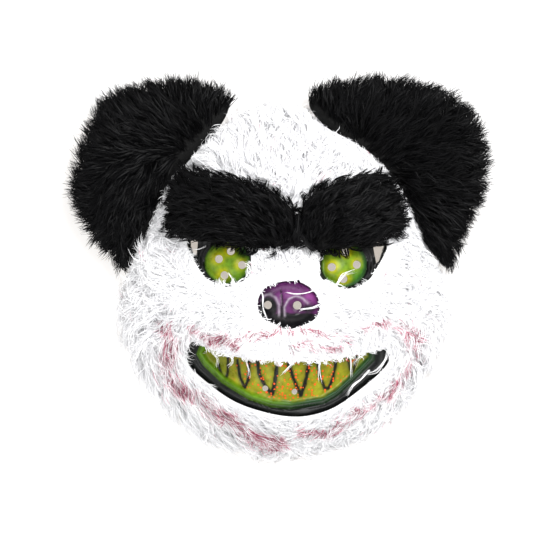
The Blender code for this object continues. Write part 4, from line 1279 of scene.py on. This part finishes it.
def cloth_material(name, low, high, scale, rough):
    mat, nt, bsdf = new_material(name)
    coord = nt.nodes.new("ShaderNodeTexCoord").outputs["Object"]
    noise = nt.nodes.new("ShaderNodeTexNoise")
    noise.inputs["Scale"].default_value = scale
    noise.inputs["Detail"].default_value = 5.0
    link(nt, coord, noise.inputs["Vector"])
    ramp = ramp_node(nt, [(0.3, low), (0.7, high)])
    link(nt, noise.outputs["Fac"], ramp.inputs["Fac"])
    link(nt, ramp.outputs["Color"], bsdf.inputs["Base Color"])
    bump = nt.nodes.new("ShaderNodeBump")
    bump.inputs["Strength"].default_value = 0.6
    bump.inputs["Distance"].default_value = 0.0008
    link(nt, noise.outputs["Fac"], bump.inputs["Height"])
    link(nt, bump.outputs["Normal"], bsdf.inputs["Normal"])
    bsdf.inputs["Roughness"].default_value = rough
    bsdf.inputs["Specular IOR Level"].default_value = 0.2
    return mat


def pile_material(name, along, tone_low, tone_high, rough, spec, sheen):
    """Pile: colour from the strand map, across for tone and up for dye or for root to tip, where the ramp paints
    shade at the root.
    """
    mat, nt, bsdf = new_material(name)
    uv = nt.nodes.new("ShaderNodeUVMap")
    uv.uv_map = "strand"
    split = nt.nodes.new("ShaderNodeSeparateXYZ")
    link(nt, uv.outputs["UV"], split.inputs["Vector"])
    ramp = ramp_node(nt, along)
    link(nt, split.outputs["Y"], ramp.inputs["Fac"])
    tone = ramp_node(nt, [(0.0, tone_low), (1.0, tone_high)])
    link(nt, split.outputs["X"], tone.inputs["Fac"])
    colour = mix_rgb(nt, "MULTIPLY", 1.0, ramp.outputs["Color"], tone.outputs["Color"])
    link(nt, colour, bsdf.inputs["Base Color"])
    bsdf.inputs["Roughness"].default_value = rough
    bsdf.inputs["Specular IOR Level"].default_value = spec
    bsdf.inputs["Sheen Weight"].default_value = sheen
    bsdf.inputs["Sheen Roughness"].default_value = 0.4
    return mat


def elastic_material():
    mat, nt, bsdf = new_material("ribbed_elastic")
    coord = nt.nodes.new("ShaderNodeTexCoord").outputs["Object"]
    wave = nt.nodes.new("ShaderNodeTexWave")
    wave.bands_direction = "Y"
    wave.inputs["Scale"].default_value = 230.0
    wave.inputs["Distortion"].default_value = 0.6
    link(nt, coord, wave.inputs["Vector"])
    knit = nt.nodes.new("ShaderNodeTexWave")
    knit.bands_direction = "X"
    knit.inputs["Scale"].default_value = 420.0
    knit.inputs["Distortion"].default_value = 1.2
    link(nt, coord, knit.inputs["Vector"])
    height = math_node(nt, "ADD", wave.outputs["Fac"],
                       math_node(nt, "MULTIPLY", knit.outputs["Fac"], 0.5))
    # Painted shade: the ramp makes the grooves of the ribbing darker than its ridges.
    ramp = ramp_node(nt, [(0.1, (0.50, 0.50, 0.48)), (0.9, (0.80, 0.80, 0.78))])
    link(nt, math_node(nt, "MULTIPLY", height, 0.66), ramp.inputs["Fac"])
    link(nt, ramp.outputs["Color"], bsdf.inputs["Base Color"])
    bump = nt.nodes.new("ShaderNodeBump")
    bump.inputs["Strength"].default_value = 0.7
    bump.inputs["Distance"].default_value = 0.0005
    link(nt, height, bump.inputs["Height"])
    link(nt, bump.outputs["Normal"], bsdf.inputs["Normal"])
    bsdf.inputs["Roughness"].default_value = 0.85
    return mat


# -------------------------------------------------------------------- stage
def build_stage():
    cam = bpy.data.cameras.new("camera")
    cam.sensor_width = 36.0
    cam.sensor_fit = "HORIZONTAL"
    cam.lens = 36.0 * (CAMERA_HEIGHT - VIEW_LEVEL) / VIEW_WIDTH
    cam.clip_start, cam.clip_end = 0.1, 50.0
    obj = bpy.data.objects.new("camera", cam)
    obj.location = (VIEW_MIDDLE[0] * MM, VIEW_MIDDLE[1] * MM, CAMERA_HEIGHT * MM)
    bpy.context.scene.collection.objects.link(obj)
    bpy.context.scene.camera = obj

    mesh = bpy.data.meshes.new("floor")
    h = 6.0
    mesh.from_pydata([(-h, -h, -0.0004), (h, -h, -0.0004), (h, h, -0.0004), (-h, h, -0.0004)],
                     [], [(0, 1, 2, 3)])
    floor = bpy.data.objects.new("floor", mesh)
    bpy.context.scene.collection.objects.link(floor)
    mat, nt, bsdf = new_material("floor_card")
    bsdf.inputs["Base Color"].default_value = (0.62, 0.64, 0.66, 1.0)
    bsdf.inputs["Roughness"].default_value = 0.9
    bsdf.inputs["Specular IOR Level"].default_value = 0.0
    bsdf.inputs["Emission Color"].default_value = (0.425, 0.385, 0.348, 1.0)
    bsdf.inputs["Emission Strength"].default_value = 1.0
    mesh.materials.append(mat)

    world = bpy.data.worlds.new("studio")
    world.use_nodes = True
    back = world.node_tree.nodes["Background"]
    back.inputs["Color"].default_value = (1.0, 1.0, 1.0, 1.0)
    back.inputs["Strength"].default_value = 0.72
    bpy.context.scene.world = world

    for name, place, size, power in (("key", (0.65, 0.75, 1.5), 1.1, 40.0),
                                     ("fill", (-0.7, -0.7, 1.5), 1.4, 18.0)):
        light = bpy.data.lights.new(name, "AREA")
        light.shape = "SQUARE"
        light.size = size
        light.energy = power
        lamp = bpy.data.objects.new(name, light)
        lamp.location = place
        lamp.rotation_euler = (Vector((0, 0, 0.04)) - Vector(place)).to_track_quat("-Z", "Y").to_euler()
        bpy.context.scene.collection.objects.link(lamp)
    view = bpy.context.scene.view_settings
    view.view_transform = "Standard"
    view.look = "None"
    view.exposure = 0.0
    view.gamma = 1.0


# ---------------------------------------------------------------- assembly
def dye_amount(x, y):
    """How strongly the dye took at a place, 0 to about 1."""
    out = np.zeros(np.shape(x))
    uneven = 0.5 + 0.9 * wobble(x, y, 16.0, 21)
    for _, width, strength, line in DYE_STREAKS:
        d = polyline_distance(x, y, line)
        out = np.maximum(out, strength * np.exp(-(d / width) ** 2))
    return np.clip(out * (0.55 + 0.8 * np.clip(uneven, 0, 1)), 0, 1)


def build_white_pile(head, material):
    rng = np.random.default_rng(11)

    def keep(p, n):
        ok = np.ones(len(p), bool)
        for o in OPENINGS.values():
            ok &= signed_distance(p[:, 0], p[:, 1], o) > 0.4
        for key in ("brow_left", "brow_right"):
            ok &= signed_distance(p[:, 0], p[:, 1], PLAN[key]) > -4.0
        for poly in BEYOND_SEAM.values():
            ok &= signed_distance(p[:, 0], p[:, 1], poly) > 1.0
        ok &= ~((np.abs(p[:, 0] - 12.5) < 9.0) & (np.abs(p[:, 1] - 27.0) < 15.0))
        return ok

    roots, normals = head.scatter(3700, rng, keep)
    roots = roots + normals * (CLOTH_OUTER - 0.2)
    n = len(roots)
    x, y = roots[:, 0], roots[:, 1]
    heading, length, curl = lie(LIE_WHITE, x, y)
    loose = 0.30 + 0.32 * curl
    heading = heading + rng.normal(0, 1, n) * loose * 0.75 + 0.55 * wobble(x, y, 26.0, 31)
    flow = np.stack([np.cos(heading), np.sin(heading), np.full(n, -0.10)], axis=1)
    # Beside an ear's seam the pile lies along it.
    for poly in BEYOND_SEAM.values():
        d = signed_distance(x, y, poly)
        gx = (signed_distance(x + 0.5, y, poly) - d) / 0.5
        gy = (signed_distance(x, y + 0.5, poly) - d) / 0.5
        toward = np.minimum(flow[:, 0] * gx + flow[:, 1] * gy, 0.0)
        near = smoothstep((26.0 - d) / 10.0)
        flow[:, 0] -= toward * gx * near * 1.12
        flow[:, 1] -= toward * gy * near * 1.12
        length = length * (1.0 - 0.35 * smoothstep((16.0 - d) / 10.0))
    # Pile that starts beside an eye or the nose is short and lies away from it.
    trim = np.ones(n)
    for key in ("left_eye", "right_eye", "nose"):
        o = OPENINGS[key]
        d = signed_distance(x, y, o)
        gx = (signed_distance(x + 0.5, y, o) - d) / 0.5
        gy = (signed_distance(x, y + 0.5, o) - d) / 0.5
        toward = np.minimum(flow[:, 0] * gx + flow[:, 1] * gy, 0.0)
        near = smoothstep((15.0 - d) / 9.0) * (0.92 if key == "nose" else 0.97)
        flow[:, 0] -= toward * gx * near * 1.02
        flow[:, 1] -= toward * gy * near * 1.02
        trim = np.minimum(trim, 0.55 + 0.45 * smoothstep((d - 2.0) / 14.0))
    lower_lip = signed_distance(x, y, OPENINGS["mouth"])
    under = (y < -66.0) | (np.abs(x - 6) > 66)
    o = OPENINGS["mouth"]
    gx = (signed_distance(x + 0.5, y, o) - lower_lip) / 0.5
    gy = (signed_distance(x, y + 0.5, o) - lower_lip) / 0.5
    toward = np.minimum(flow[:, 0] * gx + flow[:, 1] * gy, 0.0)
    near = smoothstep((16.0 - lower_lip) / 9.0) * under
    flow[:, 0] -= toward * gx * near * 1.0
    flow[:, 1] -= toward * gy * near * 1.0
    trim = np.where(under, np.minimum(trim, 0.66 + 0.34 * smoothstep((lower_lip - 2) / 14.0)), trim)
    flow = unit(flow)
    length = length * trim * rng.uniform(0.8, 1.15, n)
    # Over the teeth the pile ends at the opening's edge.
    above = (~under) & (lower_lip < 26.0) & (flow[:, 1] < 0.1)
    reach = np.maximum(lower_lip * 1.02 + 1.2, 4.5) * rng.uniform(0.75, 1.22, n)
    length = np.where(above, np.minimum(length, reach), length)
    bridge = (np.abs(x - 10.0) < 24.0) & (y > -10.0) & (y < 17.0)
    length = np.where(bridge, np.minimum(length, np.maximum(16.5 - y, 3.0) * rng.uniform(0.8, 1.12, n)), length)
    depth = pile_depth(x, y)
    rise = (depth - CLOTH_OUTER) * rng.uniform(0.35, 0.95, n)
    turn = rng.normal(0, 1, n) * (0.35 + 0.95 * curl)
    wave = 0.16 + 0.30 * curl * rng.random(n)

    def bump(p):
        x, y = p[:, 0], p[:, 1]
        need = np.full(len(p), CLOTH_OUTER + 0.4)
        for _, cx, cy, hw, hh in EYE_DOMES:
            d = np.hypot((x - cx) / (hw + 3), (y - cy) / (hh + 3))
            need = np.maximum(need, 6.4 * smoothstep((1.15 - d) / 0.5))
        u = np.hypot((x - NOSE_CENTRE[0]) / 23.0, (y + 25.5) / 18.0)
        return np.maximum(need, 10.8 * smoothstep((1.12 - u) / 0.45))

    rise = rise + CLOTH_OUTER
    steps = 5
    guides, nrm = grow(head, roots, normals, flow, length, rise, turn, wave, steps,
                       hug=0.96, pull=3.0, rng=rng, bump=bump)
    pts, nn = clump(guides, nrm, 14, 3.6, 0.62, rng, fan=0.24, frizz=0.45)
    g = np.repeat(np.arange(n), 14)
    tone_g = rng.random(n)
    m = len(pts)
    tone = np.clip(0.55 * tone_g[g] + 0.45 * rng.random(m), 0, 1)
    width = rng.uniform(0.34, 0.62, m)
    dye = chunks(dye_amount, pts[..., 0], pts[..., 1])
    lucky = (0.35 * rng.random(n)[g] + 0.65 * rng.random(m))[:, None]
    hit = smoothstep((0.44 * dye - lucky + 0.06) / 0.06)
    depth_of = rng.uniform(0.55, 1.0, m)[:, None]
    wash = 0.15 * smoothstep((dye - 0.10) / 0.5) * (0.3 + 0.7 * rng.random((m, 1)))
    take = np.maximum(hit * depth_of, wash)
    s = np.linspace(0, 1, steps + 1)
    # From root to tip the map climbs from 0.02 to 0.16, where the ramp paints shade at the root; dye lifts it
    # further.
    along = np.clip(0.02 + 0.14 * s[None] + 0.82 * take, 0.0, 0.99)
    for part, pick in (("pile_crown", y > 2.0),
                       ("pile_left", (y <= 2.0) & (x < 4.0)),
                       ("pile_right", (y <= 2.0) & (x >= 4.0))):
        sel = np.nonzero(pick[g])[0]
        print(part, "strands", len(sel), "triangles", triangles(len(sel), steps + 1))
        ribbons(part, pts[sel], nn[sel], width[sel], tone[sel], along[sel], material,
                rng)

    # Loose curled hairs that stand off the pile.
    count = 900
    pick = rng.choice(n, count, replace=False)
    r2, n2 = roots[pick], normals[pick]
    f2 = flow[pick]
    turn2 = rng.normal(0, 1, count) * 1.9
    steps2 = 9
    guides, nrm = grow(head, r2, n2, f2, np.minimum(length[pick] * 1.35, 34.0),
                       np.minimum(rise[pick] * 1.15 + 1.5, PILE_FULL + 1.5),
                       turn2, np.full(count, 0.45), steps2, hug=0.9, pull=1.6, rng=rng, bump=bump)
    pts, nn = clump(guides, nrm, 2, 1.6, 0.4, rng, fan=0.1, frizz=0.3)
    m = len(pts)
    dye = chunks(dye_amount, pts[..., 0], pts[..., 1])
    take = smoothstep((dye - rng.random((m, 1)) * 0.7) / 0.3) * 0.8
    s = np.linspace(0, 1, steps2 + 1)
    # Root to tip with the painted root shade, then the dye.
    along = np.clip(0.02 + 0.14 * s[None] + 0.82 * take, 0.0, 0.99)
    ribbons("pile_curls", pts, nn, rng.uniform(0.35, 0.6, m), rng.uniform(0.4, 1.0, m), along,
            material, rng)


def build_locks(head, material):
    """Single white locks lying across the eyes, the nose and the teeth."""
    lay_locks("pile_locks", LOCKS, 1.2, material, 77, (0.20, 0.38))


def lay_locks(piece, table, lift, material, seed, widths):
    rng = np.random.default_rng(seed)
    all_pts, all_nn = [], []
    steps = 11
    for name, strands, spread, line in table:
        line = np.array(line, float)
        ends = np.vstack([2 * line[0] - line[1], line, 2 * line[-1] - line[-2]])
        s = np.linspace(0, len(line) - 1, steps)
        i = np.minimum(s.astype(int), len(line) - 2)
        t = (s - i)[:, None]
        p0, p1, p2, p3 = (ends[i + k] for k in range(4))
        curve = 0.5 * (2 * p1 + (p2 - p0) * t + (2 * p0 - 5 * p1 + 4 * p2 - p3) * t * t
                       + (3 * p1 - p0 - 3 * p2 + p3) * t ** 3)
        q = np.linspace(0, 1, steps)
        for _ in range(strands):
            off = rng.normal(0, spread, 2)[None] * (0.35 + 0.9 * np.abs(q - 0.35))[:, None]
            way = curve + off + rng.normal(0, 0.25, 2)[None] * np.sin(q * 7.0 + rng.uniform(0, 6))[:, None]
            z = face_height(way[:, 0], way[:, 1]) + np.maximum(
                chunks(skin_relief, way[:, 0], way[:, 1]), 1.0) + lift + rng.uniform(0, 1.2)
            z = np.maximum(z, np.interp(q, [0, 1], [z[0], z[-1]]) - 3.0)
            z[1:-1] = (z[:-2] + 2 * z[1:-1] + z[2:]) / 4 + 0.3
            all_pts.append(np.column_stack([way, z]))
            all_nn.append(np.tile([0.0, 0.0, 1.0], (steps, 1)))
    pts, nn = np.array(all_pts), np.array(all_nn)
    m = len(pts)
    # Root to tip, with the painted shade at the root.
    along = np.broadcast_to(0.02 + 0.14 * np.linspace(0, 1, steps)[None], (m, steps))
    ribbons(piece, pts, nn, rng.uniform(*widths, m), rng.uniform(0.6, 1.0, m), along,
            material, rng, roll=0.4)


def build_black_part(name, table, rows, head, material, pad_material, kind, guides_n, each, seed):
    rng = np.random.default_rng(seed)
    side = -1.0 if name.endswith("left") else 1.0
    if kind == "ear":
        def middle(x, y):
            away = np.clip((side * (x - FACE_CENTRE[0]) - 90.0) / 60.0, 0.0, 1.0)
            return 19.0 + 6.0 * away + 2.0 * np.sin(y / 40.0)

        def bulge(f):
            return math.sqrt(max(1.0 - f ** 2.6, 0.0))

        pts, faces = pad_mesh(table, lambda x, y, f: middle(x, y) + 7.0 * bulge(f),
                              lambda x, y, f: middle(x, y) - 5.5 * bulge(f), shrink=7.0)
        rise_top = 6.5
    else:
        def seat(x, y):
            return face_height(x, y)

        pts, faces = pad_mesh(table, lambda x, y, f: seat(x, y) + 8.0 + 6.0 * math.sqrt(max(1 - f ** 3, 0)),
                              lambda x, y, f: seat(x, y) + 4.0, shrink=1.6)
        rise_top = 7.5
    pts = seat_off_head(pts, head, CLOTH_OUTER + 0.35)
    loops, starts = faces_to_loops(faces)
    mesh = raw_mesh(name + "_pad", pts, loops, starts)
    pad = add_piece(name + "_pad", mesh, pad_material, (name,))
    surface = Surface(pts, faces)

    def keep(p, n):
        _, d = head.nearest(p)
        ok = d > CLOTH_OUTER + 1.0
        if kind == "ear":
            ok &= signed_distance(p[:, 0], p[:, 1], BEYOND_SEAM[name.split("_")[1]]) < -1.2
        weight = np.where(n[:, 2] < -0.3, 0.42, 1.0) if kind == "ear" else np.where(n[:, 2] < -0.3, 0.0, 1.0)
        return ok & (rng.random(len(p)) < weight)

    roots, normals = surface.scatter(guides_n, rng, keep)
    n = len(roots)
    x, y = roots[:, 0], roots[:, 1]
    heading, length, curl = lie(rows, x, y, soft=11.0)
    heading = heading + rng.normal(0, 0.20 + 0.25 * curl) + 0.28 * wobble(x, y, 22.0, seed + 5)
    flow = unit(np.stack([np.cos(heading), np.sin(heading),
                          np.where(normals[:, 2] < -0.3, 0.06, 0.02)], axis=1))
    length = length * rng.uniform(0.8, 1.12, n)
    rise = rise_top * rng.uniform(0.45, 1.15, n)
    rise = np.where(normals[:, 2] < -0.3, 3.0 * rng.uniform(0.5, 1.1, n), rise)
    turn = rng.normal(0, 1, n) * (0.12 + 0.7 * curl)
    wave = 0.10 + 0.25 * curl * rng.random(n)
    steps = 5
    guides, nrm = grow(surface, roots, normals, flow, length, rise, turn, wave, steps,
                       hug=0.25, pull=1.0, rng=rng)
    # Strands end at the outline, but for a few longer ones.
    edge = PLAN[name]
    beyond = BEYOND_SEAM[name.split("_")[1]]
    lucky = rng.random(n)
    tuft = wobble(x, y, 9.0, seed + 3) > 0.28
    allow = np.where((lucky < 0.08) | (tuft & (lucky < 0.75)), rng.uniform(4.5, 7.0, n), rng.uniform(0.2, 2.4, n))
    allow = allow + (0.6 if kind == "ear" else -0.6)
    for _ in range(3):
        over_by = signed_distance(guides[:, -1, 0], guides[:, -1, 1], edge) - allow
        if kind == "ear":
            seam_by = signed_distance(guides[:, -1, 0], guides[:, -1, 1], beyond) + 0.2
            near_seam = signed_distance(x, y, beyond) > -26.0
            over_by = np.where(near_seam & (y < 118.0), np.maximum(over_by, seam_by), over_by)
        length = np.where(over_by > 0, np.maximum(length - over_by * 1.1, 4.0), length)
        rng_state = np.random.default_rng(seed + 9)
        guides, nrm = grow(surface, roots, normals, flow, length, rise, turn, wave, steps,
                           hug=0.25, pull=1.0, rng=rng_state)
    gp, gd = head.nearest(guides.reshape(-1, 3))
    short = np.maximum(CLOTH_OUTER + 0.6 - gd, 0.0)
    guides = (guides.reshape(-1, 3) + gp * short[:, None]).reshape(guides.shape)
    strands, nn = clump(guides, nrm, each, 3.0, 0.72, rng, fan=0.15, frizz=0.35, reach=(0.6, 1.10))
    m = len(strands)
    g = np.repeat(np.arange(n), each)
    tone = np.clip(0.5 * rng.random(n)[g] + 0.5 * rng.random(m), 0, 1)
    s = np.linspace(0, 1, steps + 1)
    # Root to tip along the map: the ramp paints shade at the root.
    along = np.broadcast_to(0.03 + 0.92 * s[None], (m, steps + 1))
    print(name, "strands", m, "triangles", triangles(m, steps + 1))
    ribbons(name + "_pile", strands, nn, rng.uniform(0.36, 0.66, m), tone, along, material,
            rng, roll=0.7)


def main():
    build_stage()
    skin = skin_material()
    white = pile_material(
        "white_pile",
        # The first stops paint shade: the white pile is darker at the root than further out.
        [(0.00, (0.93, 0.93, 0.94)), (0.17, (0.97, 0.97, 0.975)), (0.30, (0.93, 0.70, 0.75)),
         (0.48, (0.72, 0.30, 0.38)), (0.70, (0.36, 0.055, 0.11)), (1.00, (0.13, 0.010, 0.028))],
        (0.90, 0.90, 0.912), (1.0, 1.0, 1.0), 0.6, 0.35, 0.25)
    black = pile_material(
        "black_pile",
        # Painted shade: the black pile is darker at the root and lighter toward the tip.
        [(0.00, (0.0012, 0.0012, 0.0014)), (0.55, (0.0022, 0.0022, 0.0024)), (1.00, (0.005, 0.005, 0.0055))],
        (0.15, 0.15, 0.17), (2.3, 2.3, 2.3), 0.32, 0.06, 0.0)
    backing = cloth_material("white_backing", (0.80, 0.80, 0.81), (0.92, 0.92, 0.93), 700.0, 0.9)
    dark = cloth_material("black_backing", (0.001, 0.001, 0.001), (0.003, 0.003, 0.003), 700.0, 0.85)

    build_skin(skin)
    build_cover(backing)
    pts, _ = head_grid(150, 46)
    n, m = pts.shape[:2]
    flat = pts.reshape(-1, 3)
    faces = ring_faces(n, m)
    a = flat[faces[m // 2]]
    if np.cross(a[1] - a[0], a[2] - a[0])[2] < 0:
        faces = faces[:, ::-1]
    head = Surface(flat, faces)
    build_white_pile(head, white)
    build_locks(head, white)
    lay_locks("brow_locks", BROW_LOCKS, 11.0, black, 83, (0.5, 0.8))
    build_black_part("ear_left", EAR_LEFT, LIE_EAR_LEFT, head, black, dark, "ear", 760, 15, 41)
    build_black_part("ear_right", EAR_RIGHT, LIE_EAR_RIGHT, head, black, dark, "ear", 760, 15, 43)
    build_black_part("brow_left", BROW_LEFT, LIE_BROW_LEFT, head, black, dark, "brow", 340, 15, 47)
    build_black_part("brow_right", BROW_RIGHT, LIE_BROW_RIGHT, head, black, dark, "brow", 320, 15, 53)

    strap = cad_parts["head_strap"]
    strap.data.materials.clear()
    strap.data.materials.append(elastic_material())


main()
